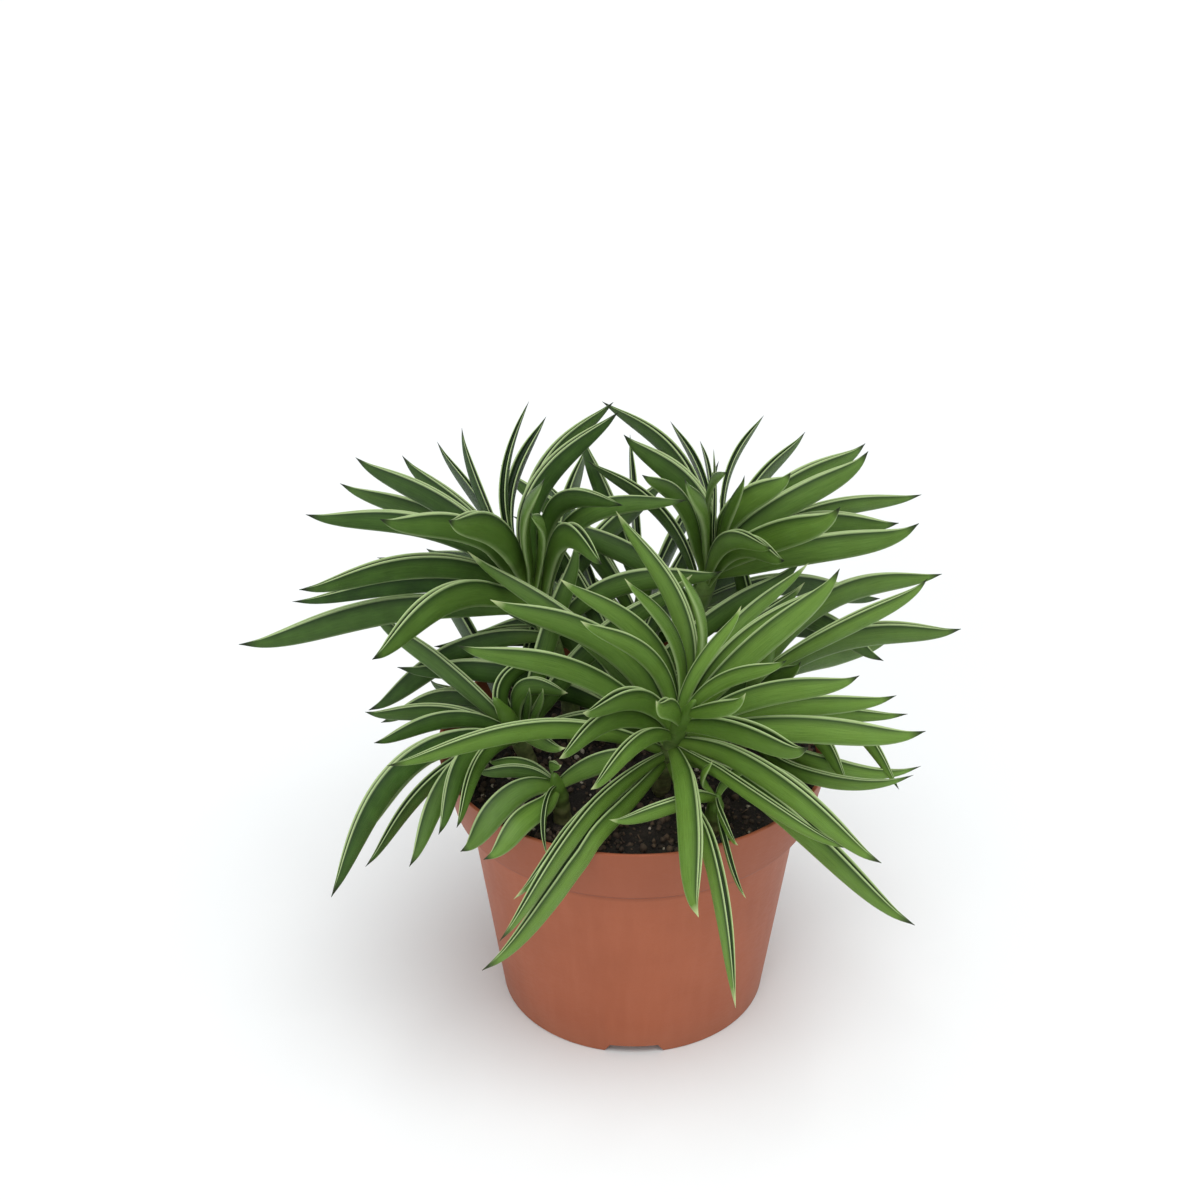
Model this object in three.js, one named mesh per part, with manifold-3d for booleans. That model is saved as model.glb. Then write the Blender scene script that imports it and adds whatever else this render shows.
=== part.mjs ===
// A potted peperomia of the bean-leaved kind: narrow fleshy leaves folded lengthwise like open pods, set
// round leafy stems that stand in a 12 cm nursery pot. Millimetres, +Z up. The origin is the middle of the
// pot's underside, on the surface that the pot stands on, and the plant's open face looks along -Y.
import * as THREE from "three";
import { mergeVertices } from "three/addons/utils/BufferGeometryUtils.js";
import Module from "manifold-3d";

const wasm = await Module();
wasm.setup();

const vec = (x, y, z) => new THREE.Vector3(x, y, z);
const radians = THREE.MathUtils.degToRad;
const UP = vec(0, 0, 1);

// ---------------------------------------------------------------- pot and soil sizes
const POT = {
  height: 89,
  rimRadius: 60, // outside of the lip
  collarHeight: 19.3, // the stacking band under the lip
  collarLowRadius: 55.4,
  bodyTopRadius: 51.2, // the body just under the collar's shoulder
  footRadius: 41,
  wall: 1.3,
  floorLift: 3.2, // the floor stands this far above the surface, inside the foot ring
  floorThickness: 1.4,
  padRadius: 14, // the middle of the floor comes down to the surface again
  padSlope: 4, // run of the slope between the pad and the raised floor
  sides: 40,
};
const NOTCH = { count: 3, lowWidth: 18.6, highWidth: 14.8, height: 2.9 }; // drainage gaps in the foot ring
const DRAIN = { count: 6, radius: 3, ring: 29 }; // drain holes in the raised floor
const SOIL = {
  level: 81.5, // of its edge
  edgeDepth: 3, // the brim of its body lies this far under that
  edgeInset: 0.6,
  mound: 2.5, // its middle stands this much higher
  crumb: 0.8,
  rings: 4,
  gap: 0.3, // between it and the plastic
};

// ---------------------------------------------------------------- stems and leaves
// The front view looks down at the pot from this many degrees above level. Leaves are placed in its axes:
// across (to the right), rise (up the leaning front plane) and toward (out of that plane, to the front).
const FRONT_TILT = 31.3;
const ACROSS = vec(1, 0, 0);
const RISE = vec(0, Math.sin(radians(FRONT_TILT)), Math.cos(radians(FRONT_TILT)));
const TOWARD = vec(0, -Math.cos(radians(FRONT_TILT)), Math.sin(radians(FRONT_TILT)));

// Leaves turn their channels toward the light, which comes from above and this many degrees behind.
const LIGHT_LEAN = 18;
const LIGHT = vec(0, Math.sin(radians(LIGHT_LEAN)), Math.cos(radians(LIGHT_LEAN)));

const STEM = {
  radius: 2.9,
  sides: 8,
  steps: 4,
  sunk: 15, // depth of its foot in the soil
  holeGap: 0.3,
  leafyLength: 32, // leaves root over this length, the upright ones highest
  topInset: 2, // the highest root lies this far under the crown
  bareFoot: 12, // no leaf roots lower than this above the soil
};
const LEAF = {
  depth: 7, // from keel to margins at the broadest place, for a leaf of size 1
  channel: 0.42, // width between the margins, as a share of the depth
  groove: 0.26, // depth of the channel, as a share of the leaf's depth
  hook: 0.55, // how far its tip turns up to the channel's side, as a share of its depth
  broadest: 0.55, // where along the leaf it is broadest
  rootFullness: 0.4, // its breadth at the root, as a share of its breadth where it is broadest
  taper: 2.6, // how it narrows to the tip: a larger number keeps it broad for longer
  bendAt: 0.45, // where along its chord a leaf arches most
  stations: [0, 0.17, 0.4, 0.65, 0.87, 1], // where the faceted leaf has its cross-sections
};

// Each leafy stem: where its foot stands in the soil, where its crown is, and its leaves as
// [across, rise, toward, arch, size, sway, roll]: the tip's place from the crown, how far the leaf arches
// up off its chord, its depth as a share of LEAF.depth, how far it sways sideways off its chord, and how
// many degrees its channel is turned away from the light.
const STEMS = [
  {
    name: "leafy_stem_front",
    foot: [7, -17],
    crown: [17, -36, 127],
    fill: 6,
    leaves: [
      [-22, 54, -10, 13, 0.9, 1], [-5, 37, 14, 7, 1, -8], [41, 38, 4, 2, 1.1],
      [38, 35, -10, 8, 0.8], [34, 40, -26, 8, 0.7], [13, 28, 2, 3, 0.6, 2], [25, 12, 22, 4, 0.7, 1],
      [46, 9, 8, 5], [59, 1, -10, 4, 0.9, -1], [64, -5, -26, 6, 0.8, -1], [65, -8, 12, 3, 1.15],
      [30, -12, 36, 2, 1.2, -1], [13, 3, 32, -1, 0.7], [-12, 1, 34, 2, 0.9],
      [-20, 35, 8, 10, 0.7, -2], [-38, 35, -6, 13, 0.9], [-33, 23, 20, 9, 0.8, -2],
      [-64, 46, -24, 8, 0.85, 2], [-59, 29, 0, 13, 1.1, 2], [-68, 16, 14, 9, 1, 1],
      [-33, -3, 36, 8, 1, 1], [-38, -14, 42, 9, 0.9, 3], [-30, -23, 44, 6, 0.8],
      [-88, -19, 20, 9, 0.9, 1], [-59, -85, 24, -2, 1.05, -1], [-54, -68, 36, 6, 0.9],
      [-52, -62, 8, 4, 0.8], [0, -64, 40, 2, 1.05, -2, -50], [9, -97, 14, 6, 0.95, -2, -25],
      [51, -46, 30, 6, 1.1], [59, -66, 18, 3, 1.15], [43, -43, 20, 0, 0.7, 3],
    ],
  },
  {
    name: "leafy_stem_left_back",
    foot: [-17, 8],
    crown: [-40, 15, 152],
    fill: 22,
    leaves: [
      [-57, 7, 10, 9], [-50, 17, -24, 7, 0.9, -1], [-44, 24, -8, 5, 0.95, -1],
      [-32, 26, -36, 3, 0.9, 1], [-22, 31, -52, 3, 0.75], [-12, 35, -20, 1, 0.6, -3],
      [-34, 3, 34, 8, 1.15, -1], [-13, 3, 50, 9, 1.3, 1], [9, 40, 0, 8, 0.8, -6],
      [17, 37, -20, 10, 1.15, -6], [12, 15, 44, 5, 1, 5], [9, 7, 46, 9, 0.8, -3],
      [32, 42, -26, 15, 1, -6], [36, 37, -6, 14, 1.05, -2], [33, 9, 30, 21, 0.9],
      [30, -8, 42, 19, 1.1, -1], [55, 10, 12, 18, 0.9], [-39, -6, -26, 7, 0.7, 1],
      [-58, -16, 24, 10, 1.1], [-62, -22, 10, 5, 0.8, 2], [-78, -31, 2, 7, 1.2],
      [-34, -34, 44, 13, 1.25, 3],
    ],
  },
  {
    name: "leafy_stem_right_back",
    foot: [11, 15],
    crown: [31, 27, 154],
    fill: 22,
    leaves: [
      [-39, 35, -30, 14, 0.9, 5], [-34, 23, 0, 11, 1.1, 1], [-27, 9, 30, 11, 0.8],
      [-46, 16, -34, 8, 0.8, 3], [-20, 29, -36, 8, 0.75, 4], [-9, 24, -50, 9, 0.5, 3],
      [-6, 19, -8, 7, 0.4, 1], [6, 30, -22, 9, 0.65, -3], [1, 11, 22, 2, 0.7],
      [-19, 9, 40, 6, 1, -1], [-5, 9, 44, 11, 0.6, 2], [22, 25, -34, 5, 0.8, -1],
      [23, 15, -50, 7, 0.6, -2], [16, 10, 14, 4, 1.1, 2], [41, 21, -22, 6, 1.1, 1],
      [40, 17, 2, 1, 1.1], [59, 5, -28, 8, 0.85, 1], [47, -1, -6, 10, 1.1, -1], [28, 0, 34, 2, 1.3],
      [53, -4, 16, 1, 1.2], [8, -11, 48, 10, 0.85, 1], [11, -16, 42, 10, 1, -1],
    ],
  },
  {
    name: "leafy_stem_right",
    foot: [30, -2],
    crown: [43, 4, 126],
    fill: 8,
    leaves: [
      [53, 17, -34, 13, 1, -2], [57, 0, -18, 9, 1.1, -1], [35, -49, 6, 14, 0.75, -3],
      [20, -50, 10, 9, 0.75, -2], [41, -43, -6, -6, 0.7, 12], [39, -46, 12, -6, 0.7, 12],
      [5, -9, 26, 2, 0.7, -1],
    ],
  },
  {
    name: "leafy_stem_left_low",
    foot: [-30, -8],
    crown: [-42, -15, 114],
    fill: 14,
    leaves: [
      [-39, -4, -14, 5, 0.8, 1], [-21, 5, -34, 3, 0.75, -1], [-35, -7, -26, 12, 0.8, 1],
      [-35, -13, 8, 7, 0.75, 2], [-46, -57, 24, 17, 1.1, 4], [-37, -49, 14, 7, 0.8, 3],
      [-23, -49, 26, 8, 0.85, 4, 35], [-14, -39, 32, 9, 0.8, 4, 35], [-10, -36, 38, 7, 0.7, 3, 20],
      [14, 5, 18, 3, 0.5, -2], [10, 4, 6, 3, 0.5, -1], [24, -1, 8, 10, 0.8, 2],
      [21, -14, 20, 5, 0.8, 5], [19, 11, -16, 12, 0.85, -3],
    ],
  },
  {
    name: "leafy_stem_back",
    foot: [0, 35],
    crown: [5, 43, 129],
    fill: 32,
    leaves: [],
  },
  {
    name: "leafy_stem_middle",
    foot: [-3, -1],
    crown: [-2, 4, 123],
    fill: 30,
    leaves: [],
  },
  {
    name: "young_shoot_right",
    foot: [22, -37],
    crown: [24, -42, 98],
    fill: 0,
    leaves: [
      [6, -29, 18, 3, 0.6, 3], [5, -14, 20, 2, 0.5, 2], [8, 11, 4, 2, 0.45],
      [-1, 11, 14, 1, 0.5, 3], [-34, -8, 12, 0, 0.7, -1],
    ],
  },
  {
    name: "young_shoot_left",
    foot: [-21, -31],
    crown: [-24, -37, 102],
    fill: 0,
    leaves: [
      [-23, 1, -4, 3, 0.6, -1], [-20, 4, -16, 4, 0.5, -1], [24, 9, 6, 1, 0.9, -1],
      [2, 4, 10, 4, 0.45, 2], [-26, -25, 10, 5, 1.1, 0, 35], [-20, -30, 8, -1, 1, -1, 30],
      [0, -28, 8, 4, 0.55, 3],
    ],
  },
];

// Leaves that no list names follow the spiral that the plant grows by, wherever a listed leaf leaves room.
const SPIRAL = {
  turn: 137.5, // degrees from one leaf to the next
  firstLean: 22, // the youngest leaf's angle off the stem, in degrees
  lastLean: 122, // the oldest leaf's
  firstGrowth: 0.35, // how grown the youngest leaf is
  growthRate: 1.3,
  youngSize: 0.7,
  youngLength: 26,
  oldLength: 70,
  arch: 9,
  room: 19, // degrees kept clear between its leaves and the listed ones
  frontLimit: 0.1, // largest share of its direction that may point to the front
  jitter: 0.12,
  seed: 626,
};

// Leaves that would cross are bent clear of each other, of the stems, the pot and the soil.
const CLEARING = {
  points: 16, // along each leaf
  rounds: 360,
  homingRounds: 200, // a leaf springs back toward its own place until this round
  homing: 0.03, // share of the way home that one round springs back
  step: 0.12, // share of an overlap that one round takes away
  gap: 0.3, // kept between leaves of one stem
  stemGap: 2.2, // kept between leaves of different stems
  potGap: 2, // kept between leaves and the pot or the soil
  roundness: 0.54, // a leaf's reach from its middle line, as a share of its depth
  flatness: 0.5, // how much of that reach it has to its flat sides
  rootPoints: 3, // leaves of one stem may touch this close to their roots
  posts: 14, // places along each stem that leaves keep off
  listedHold: 4, // how much harder a listed leaf is to move than a spiral one
};

const POT_COLOUR = 0xa8644c;
const SOIL_COLOUR = 0x211813;
const LEAF_COLOUR = 0x5b8a3a;

// ---------------------------------------------------------------- solids and meshes
// A three.js geometry as a manifold solid.
function solidOf(geometry) {
  let bare = geometry.clone();
  bare.deleteAttribute("normal");
  bare.deleteAttribute("uv");
  bare = mergeVertices(bare, 1e-4);
  return new wasm.Manifold(
    new wasm.Mesh({
      numProp: 3,
      vertProperties: new Float32Array(bare.attributes.position.array),
      triVerts: new Uint32Array(bare.index.array),
    }),
  );
}

// A manifold solid as a named mesh of one colour.
function meshOf(name, solid, colour, roughness) {
  const { numProp, vertProperties, triVerts } = solid.getMesh();
  const positions = [];
  for (let i = 0; i < vertProperties.length; i += numProp) {
    positions.push(vertProperties[i], vertProperties[i + 1], vertProperties[i + 2]);
  }
  const geometry = new THREE.BufferGeometry();
  geometry.setAttribute("position", new THREE.Float32BufferAttribute(positions, 3));
  geometry.setIndex([...triVerts]);
  geometry.computeVertexNormals();
  const material = new THREE.MeshStandardMaterial({ color: colour, roughness, metalness: 0 });
  const mesh = new THREE.Mesh(geometry, material);
  mesh.name = name;
  return mesh;
}

// A solid of revolution about Z, from (radius, height) points.
function turned(profile, sides) {
  const geometry = new THREE.LatheGeometry(profile.map(([r, z]) => new THREE.Vector2(r, z)), sides);
  return solidOf(geometry.rotateX(Math.PI / 2));
}

// ---------------------------------------------------------------- pot
// Outside radius of the pot at a height, with the collar.
function potRadius(z) {
  const collarLow = POT.height - POT.collarHeight;
  if (z >= collarLow) {
    const up = Math.min(1, (z - collarLow) / POT.collarHeight);
    return POT.collarLowRadius + (POT.rimRadius - POT.collarLowRadius) * up;
  }
  return POT.footRadius + ((POT.bodyTopRadius - POT.footRadius) * Math.max(0, z)) / collarLow;
}

function potSolid() {
  const collarLow = POT.height - POT.collarHeight;
  const floorTop = POT.floorLift + POT.floorThickness;
  const slopeEnd = POT.padRadius + POT.padSlope;
  const skirtRadius = POT.footRadius - POT.wall;
  const profile = [
    [0, 0],
    [POT.padRadius, 0],
    [slopeEnd, POT.floorLift],
    [skirtRadius, POT.floorLift],
    [skirtRadius, 0],
    [POT.footRadius, 0],
    [POT.bodyTopRadius, collarLow],
    [POT.collarLowRadius, collarLow],
    [POT.rimRadius, POT.height],
    [POT.rimRadius - POT.wall, POT.height],
    [POT.collarLowRadius - POT.wall, collarLow + POT.wall],
    [POT.bodyTopRadius - POT.wall, collarLow + POT.wall],
    [potRadius(floorTop) - POT.wall, floorTop],
    [slopeEnd, floorTop],
    [POT.padRadius, POT.floorThickness],
    [0, POT.floorThickness],
  ];
  let pot = turned(profile, POT.sides);

  const gap = new THREE.Shape();
  gap.moveTo(-NOTCH.lowWidth / 2, -1);
  gap.lineTo(NOTCH.lowWidth / 2, -1);
  gap.lineTo(NOTCH.lowWidth / 2, 0);
  gap.lineTo(NOTCH.highWidth / 2, NOTCH.height);
  gap.lineTo(-NOTCH.highWidth / 2, NOTCH.height);
  gap.lineTo(-NOTCH.lowWidth / 2, 0);
  const throughRing = 12;
  for (let i = 0; i < NOTCH.count; i += 1) {
    const cutter = new THREE.ExtrudeGeometry(gap, { depth: throughRing, bevelEnabled: false });
    cutter.rotateX(Math.PI / 2);
    cutter.translate(0, -POT.footRadius + throughRing / 2, 0);
    cutter.rotateZ((i * 2 * Math.PI) / NOTCH.count);
    pot = pot.subtract(solidOf(cutter));
  }
  for (let i = 0; i < DRAIN.count; i += 1) {
    const drill = new THREE.CylinderGeometry(DRAIN.radius, DRAIN.radius, 4 * POT.floorThickness, 12);
    drill.rotateX(Math.PI / 2);
    drill.translate(DRAIN.ring, 0, POT.floorLift + POT.floorThickness / 2);
    drill.rotateZ(((i + 0.5) * 2 * Math.PI) / DRAIN.count);
    pot = pot.subtract(solidOf(drill));
  }
  return pot;
}

// ---------------------------------------------------------------- growth
// A repeatable stream of numbers from 0 to 1.
function seededStream(seed) {
  let state = seed;
  return () => {
    state = (state + 0x6d2b79f5) >>> 0;
    let mixed = Math.imul(state ^ (state >>> 15), state | 1);
    mixed ^= mixed + Math.imul(mixed ^ (mixed >>> 7), mixed | 61);
    return ((mixed ^ (mixed >>> 14)) >>> 0) / 4294967296;
  };
}

function quadratic(start, middle, end, t) {
  const one = 1 - t;
  return vec(0, 0, 0)
    .addScaledVector(start, one * one)
    .addScaledVector(middle, 2 * one * t)
    .addScaledVector(end, t * t);
}

// The soil's surface: a low mound with crumbs.
function soilHeight(x, y) {
  const out = Math.hypot(x, y) / POT.rimRadius;
  const crumbs = Math.sin(x * 0.93 + y * 0.41) + Math.sin(y * 1.07 - x * 0.37) * 0.8;
  return SOIL.level + SOIL.mound * (1 - out * out) + SOIL.crumb * 0.5 * crumbs;
}

// A stem rises straight from the soil and leans over to its crown.
function stemPoint(stem, t) {
  const foot = vec(stem.foot[0], stem.foot[1], SOIL.level - STEM.sunk);
  const crown = vec(...stem.crown);
  const middle = vec(foot.x, foot.y, (foot.z + crown.z) / 2);
  return quadratic(foot, middle, crown, t);
}

function stemAxis(stem) {
  return stemPoint(stem, 1).sub(stemPoint(stem, 0.9)).normalize();
}

// The part of a vector that is square to a direction, at unit length.
function squareTo(direction, vector) {
  return vector.clone().addScaledVector(direction, -vector.dot(direction)).normalize();
}

// A leaf of a stem. Its middle line runs from its root in the stem to its tip, arched off the chord, and
// its fold is the side its channel faces: square to the chord, toward the light unless it is rolled.
function newLeaf(stem, offset, arch, sway, roll, depth, hold) {
  const crown = vec(...stem.crown);
  const axis = stemAxis(stem);
  const lean = offset.angleTo(axis);
  const stemLength = crown.z - SOIL.level + STEM.sunk;
  const rootDrop = STEM.topInset + STEM.leafyLength * Math.min(1, lean / radians(SPIRAL.lastLean));
  const leafy = crown.z - SOIL.level - SOIL.mound - STEM.bareFoot;
  const reach = Math.min(rootDrop, leafy);
  const root = stemPoint(stem, 1 - reach / stemLength);
  const tip = crown.clone().add(offset);
  const chord = tip.clone().sub(root);
  const along = chord.clone().normalize();
  const over = squareTo(along, LIGHT);
  const aside = along.clone().cross(over);
  const fold = over.clone().applyAxisAngle(along, roll);
  const middle = root
    .clone()
    .addScaledVector(chord, LEAF.bendAt)
    .addScaledVector(over, 2 * arch)
    .addScaledVector(aside, 2 * sway);
  const lowTip = tip.clone().addScaledVector(fold, -LEAF.hook * depth);
  const points = [];
  for (let k = 0; k < CLEARING.points; k += 1) {
    const t = k / (CLEARING.points - 1);
    const turnedUp = LEAF.hook * depth * (1 - fullness(Math.max(t, LEAF.broadest))) ** 2;
    points.push(quadratic(root, middle, lowTip, t).addScaledVector(fold, turnedUp));
  }
  return { stem, offset, depth, hold, fold, points };
}

// How full a leaf is along its length: a narrow root, broadest past the middle, a pointed tip.
function fullness(t) {
  if (t < LEAF.broadest) {
    return LEAF.rootFullness + (1 - LEAF.rootFullness) * Math.sin((Math.PI / 2) * (t / LEAF.broadest));
  }
  return 1 - ((t - LEAF.broadest) / (1 - LEAF.broadest)) ** LEAF.taper;
}

function listedLeaves(stem) {
  return stem.leaves.map(([across, rise, toward, arch, size = 1, sway = 0, roll = 0]) => {
    const offset = vec(0, 0, 0)
      .addScaledVector(ACROSS, across)
      .addScaledVector(RISE, rise)
      .addScaledVector(TOWARD, toward);
    const depth = size * LEAF.depth;
    return newLeaf(stem, offset, arch, sway, radians(roll), depth, CLEARING.listedHold);
  });
}

function spiralLeaves(stem, listed, random) {
  const axis = stemAxis(stem);
  const side = squareTo(axis, ACROSS);
  const ahead = axis.clone().cross(side);
  const leaves = [];
  for (let n = 0; n < stem.fill; n += 1) {
    const age = (n + 0.5) / stem.fill;
    const wobble = [random(), random(), random()].map((r) => (r - 0.5) * 2 * SPIRAL.jitter);
    const opening = SPIRAL.firstLean + (SPIRAL.lastLean - SPIRAL.firstLean) * Math.sqrt(age);
    const lean = radians(opening) + wobble[0];
    const turn = radians(n * SPIRAL.turn) + wobble[1];
    const direction = axis
      .clone()
      .multiplyScalar(Math.cos(lean))
      .addScaledVector(side, Math.sin(lean) * Math.cos(turn))
      .addScaledVector(ahead, Math.sin(lean) * Math.sin(turn));
    const crowded = [...listed, ...leaves].some(
      (leaf) => leaf.offset.angleTo(direction) < radians(SPIRAL.room),
    );
    if (crowded || direction.dot(TOWARD) > SPIRAL.frontLimit) continue;
    const growth = Math.min(1, SPIRAL.firstGrowth + SPIRAL.growthRate * age) * (1 + wobble[2]);
    const length = SPIRAL.youngLength + (SPIRAL.oldLength - SPIRAL.youngLength) * growth;
    const offset = direction.clone().multiplyScalar(length);
    const depth = LEAF.depth * (SPIRAL.youngSize + (1 - SPIRAL.youngSize) * growth);
    leaves.push(newLeaf(stem, offset, SPIRAL.arch * age, 0, 0, depth, 1));
  }
  return leaves;
}

// ---------------------------------------------------------------- bending clear
// How far to move a point of a leaf so that it stands clear of the pot and the soil.
function outOfPot(point, reach) {
  const out = Math.hypot(point.x, point.y);
  if (out < POT.rimRadius - POT.wall - reach) {
    const sunk = soilHeight(point.x, point.y) + SOIL.crumb + reach - point.z;
    return vec(0, 0, Math.max(0, sunk));
  }
  const upward = POT.height + reach - point.z;
  const outward = potRadius(point.z) + reach - out;
  if (upward <= 0 || outward <= 0) return vec(0, 0, 0);
  if (upward < outward) return vec(0, 0, upward);
  return vec(point.x, point.y, 0).multiplyScalar(outward / out);
}

// Moves a whole leaf by the pushes on its points. A push bends the leaf evenly from its root up to where
// it acts and carries the rest along, while the leaf's spring draws it home. The pieces between the
// points keep their lengths.
function bend(leaf, homing) {
  const moved = leaf.points.map((point, j) => {
    const shift = vec(0, 0, 0);
    for (let k = 1; k < leaf.push.length; k += 1) {
      shift.addScaledVector(leaf.push[k], Math.min(1, j / k));
    }
    return point.clone().add(shift).lerp(leaf.home[j], homing);
  });
  for (let k = 1; k < moved.length; k += 1) {
    const link = moved[k].clone().sub(moved[k - 1]).setLength(leaf.link[k - 1]);
    moved[k] = moved[k - 1].clone().add(link);
  }
  leaf.points = moved;
}

// Adds to a leaf's push at one of its points so that a ball there stands clear of a post.
function pushOff(push, point, post, wanted) {
  const apart = point.clone().sub(post);
  const distance = Math.max(apart.length(), 1e-6);
  if (distance >= wanted) return;
  push.addScaledVector(apart, (CLEARING.step * (wanted - distance)) / distance);
}

// How far a leaf reaches at a point along it, to a neighbour that lies (x, y, z) away: less to its sides.
function reachToward(leaf, k, x, y, z, distance) {
  const facing = Math.abs(x * leaf.fold.x + y * leaf.fold.y + z * leaf.fold.z) / distance;
  return leaf.reach[k] * (CLEARING.flatness + (1 - CLEARING.flatness) * facing);
}

function pushPair(a, b) {
  const related = a.stem === b.stem;
  const first = related ? CLEARING.rootPoints : 1;
  const gap = related ? CLEARING.gap : CLEARING.stemGap;
  const shareOfA = b.hold / (a.hold + b.hold);
  for (let k = first; k < a.points.length; k += 1) {
    for (let m = first; m < b.points.length; m += 1) {
      const x = a.points[k].x - b.points[m].x;
      const y = a.points[k].y - b.points[m].y;
      const z = a.points[k].z - b.points[m].z;
      const squared = x * x + y * y + z * z;
      if (squared >= (a.reach[k] + b.reach[m] + gap) ** 2) continue;
      const distance = Math.max(Math.sqrt(squared), 1e-6);
      const reachOfA = reachToward(a, k, x, y, z, distance);
      const overlap = reachOfA + reachToward(b, m, x, y, z, distance) + gap - distance;
      if (overlap <= 0) continue;
      const apart = vec(x, y, z).multiplyScalar((CLEARING.step * overlap) / distance);
      a.push[k].addScaledVector(apart, shareOfA);
      b.push[m].addScaledVector(apart, shareOfA - 1);
    }
  }
}

function bendClear(leaves, stems) {
  const last = CLEARING.points - 1;
  for (const leaf of leaves) {
    leaf.home = leaf.points;
    leaf.link = leaf.points.slice(1).map((point, k) => point.distanceTo(leaf.points[k]));
    leaf.reach = leaf.points.map((_, k) => CLEARING.roundness * leaf.depth * fullness(k / last));
    leaf.span = leaf.link.reduce((sum, link) => sum + link, 0) / 2 + Math.max(...leaf.reach);
  }
  const posts = stems.flatMap((stem) =>
    Array.from({ length: CLEARING.posts }, (_, k) => {
      return { stem, at: stemPoint(stem, k / (CLEARING.posts - 1)) };
    }),
  );
  const half = Math.floor(CLEARING.points / 2);
  for (let round = 0; round < CLEARING.rounds; round += 1) {
    for (const leaf of leaves) leaf.push = leaf.points.map(() => vec(0, 0, 0));
    leaves.forEach((a, i) => {
      for (const b of leaves.slice(i + 1)) {
        const between = a.points[half].distanceTo(b.points[half]);
        if (between < a.span + b.span + CLEARING.stemGap) pushPair(a, b);
      }
      for (let k = 1; k <= last; k += 1) {
        a.push[k].addScaledVector(outOfPot(a.points[k], a.reach[k] + CLEARING.potGap), CLEARING.step);
        const room = a.reach[k] + CLEARING.stemGap + STEM.radius;
        for (const post of posts) {
          if (post.stem !== a.stem) pushOff(a.push[k], a.points[k], post.at, room);
        }
      }
    });
    const homing = round < CLEARING.homingRounds ? CLEARING.homing : 0;
    for (const leaf of leaves) bend(leaf, homing);
  }
}

// ---------------------------------------------------------------- leaf and stem solids
// One folded leaf. Each cross-section is keel, right margin, groove, left margin. The quads on both
// sides of a margin are split along matching diagonals, so that a twisted side keeps its thickness.
function leafSolid(leaf) {
  const curve = new THREE.CatmullRomCurve3(leaf.points);
  const corners = 4;
  const rings = LEAF.stations.slice(0, -1);
  const positions = [];
  for (const t of rings) {
    const along = curve.getTangent(t);
    const over = squareTo(along, leaf.fold);
    const aside = along.clone().cross(over);
    const middle = curve.getPoint(t);
    const depth = leaf.depth * fullness(t);
    const half = (depth * LEAF.channel) / 2;
    const margins = middle.clone().addScaledVector(over, depth / 2);
    positions.push(
      ...middle.clone().addScaledVector(over, -depth / 2),
      ...margins.clone().addScaledVector(aside, half),
      ...middle.clone().addScaledVector(over, depth * (0.5 - LEAF.groove)),
      ...margins.clone().addScaledVector(aside, -half),
    );
  }
  positions.push(...curve.getPoint(1));
  const tip = rings.length * corners;

  const index = [0, 1, 2, 0, 2, 3];
  for (let ring = 0; ring < rings.length; ring += 1) {
    for (let corner = 0; corner < corners; corner += 1) {
      const here = ring * corners + corner;
      const next = ring * corners + ((corner + 1) % corners);
      const hereAfter = here + corners;
      const nextAfter = next + corners;
      if (ring === rings.length - 1) index.push(here, tip, next);
      else if (corner % 2 === 0) index.push(here, hereAfter, nextAfter, here, nextAfter, next);
      else index.push(here, hereAfter, next, next, hereAfter, nextAfter);
    }
  }
  const geometry = new THREE.BufferGeometry();
  geometry.setAttribute("position", new THREE.Float32BufferAttribute(positions, 3));
  geometry.setIndex(index);
  return solidOf(geometry);
}

// A round bar along a stem's path.
function stemBar(stem, radius) {
  const points = Array.from({ length: STEM.steps + 1 }, (_, k) => stemPoint(stem, k / STEM.steps));
  const section = new THREE.Shape().absarc(0, 0, radius, 0, 2 * Math.PI);
  const bar = new THREE.ExtrudeGeometry(section, {
    steps: STEM.steps,
    curveSegments: STEM.sides,
    extrudePath: new THREE.CatmullRomCurve3(points),
  });
  return solidOf(bar);
}

// A stem with its leaves fused to it. Scraps that fusing leaves loose are dropped.
function leafyStemSolid(stem, leaves) {
  const pieces = [stemBar(stem, STEM.radius), ...leaves.map(leafSolid)];
  const bodies = wasm.Manifold.union(pieces).decompose();
  return bodies.reduce((largest, body) => (body.volume() > largest.volume() ? body : largest));
}

// ---------------------------------------------------------------- soil
// Soil fills the pot to the collar, a gap off the plastic, with a plain hole for each stem.
function soilSolid(stems) {
  const floorTop = POT.floorLift + POT.floorThickness + SOIL.gap;
  const collarLow = POT.height - POT.collarHeight;
  const inset = POT.wall + SOIL.gap;
  const brim = SOIL.level - SOIL.edgeDepth;
  const profile = [
    [0, floorTop],
    [potRadius(floorTop) - inset, floorTop],
    [POT.bodyTopRadius - inset, collarLow + POT.wall + SOIL.gap],
    [POT.collarLowRadius - inset, collarLow + POT.wall + SOIL.gap],
    [potRadius(brim) - inset, brim],
  ];
  for (let ring = SOIL.rings; ring >= 0; ring -= 1) {
    const radius = ((potRadius(brim) - inset - SOIL.edgeInset) * ring) / SOIL.rings;
    profile.push([radius, SOIL.level]);
  }
  const geometry = new THREE.LatheGeometry(
    profile.map(([r, z]) => new THREE.Vector2(r, z)),
    POT.sides,
  ).rotateX(Math.PI / 2);
  const place = geometry.attributes.position;
  for (let i = 0; i < place.count; i += 1) {
    if (place.getZ(i) > brim) place.setZ(i, soilHeight(place.getX(i), place.getY(i)));
  }
  let soil = solidOf(geometry);
  for (const stem of stems) {
    const drill = stemBar(stem, STEM.radius + STEM.holeGap).translate(0, 0, -STEM.holeGap);
    soil = soil.subtract(drill);
  }
  return soil;
}

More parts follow.
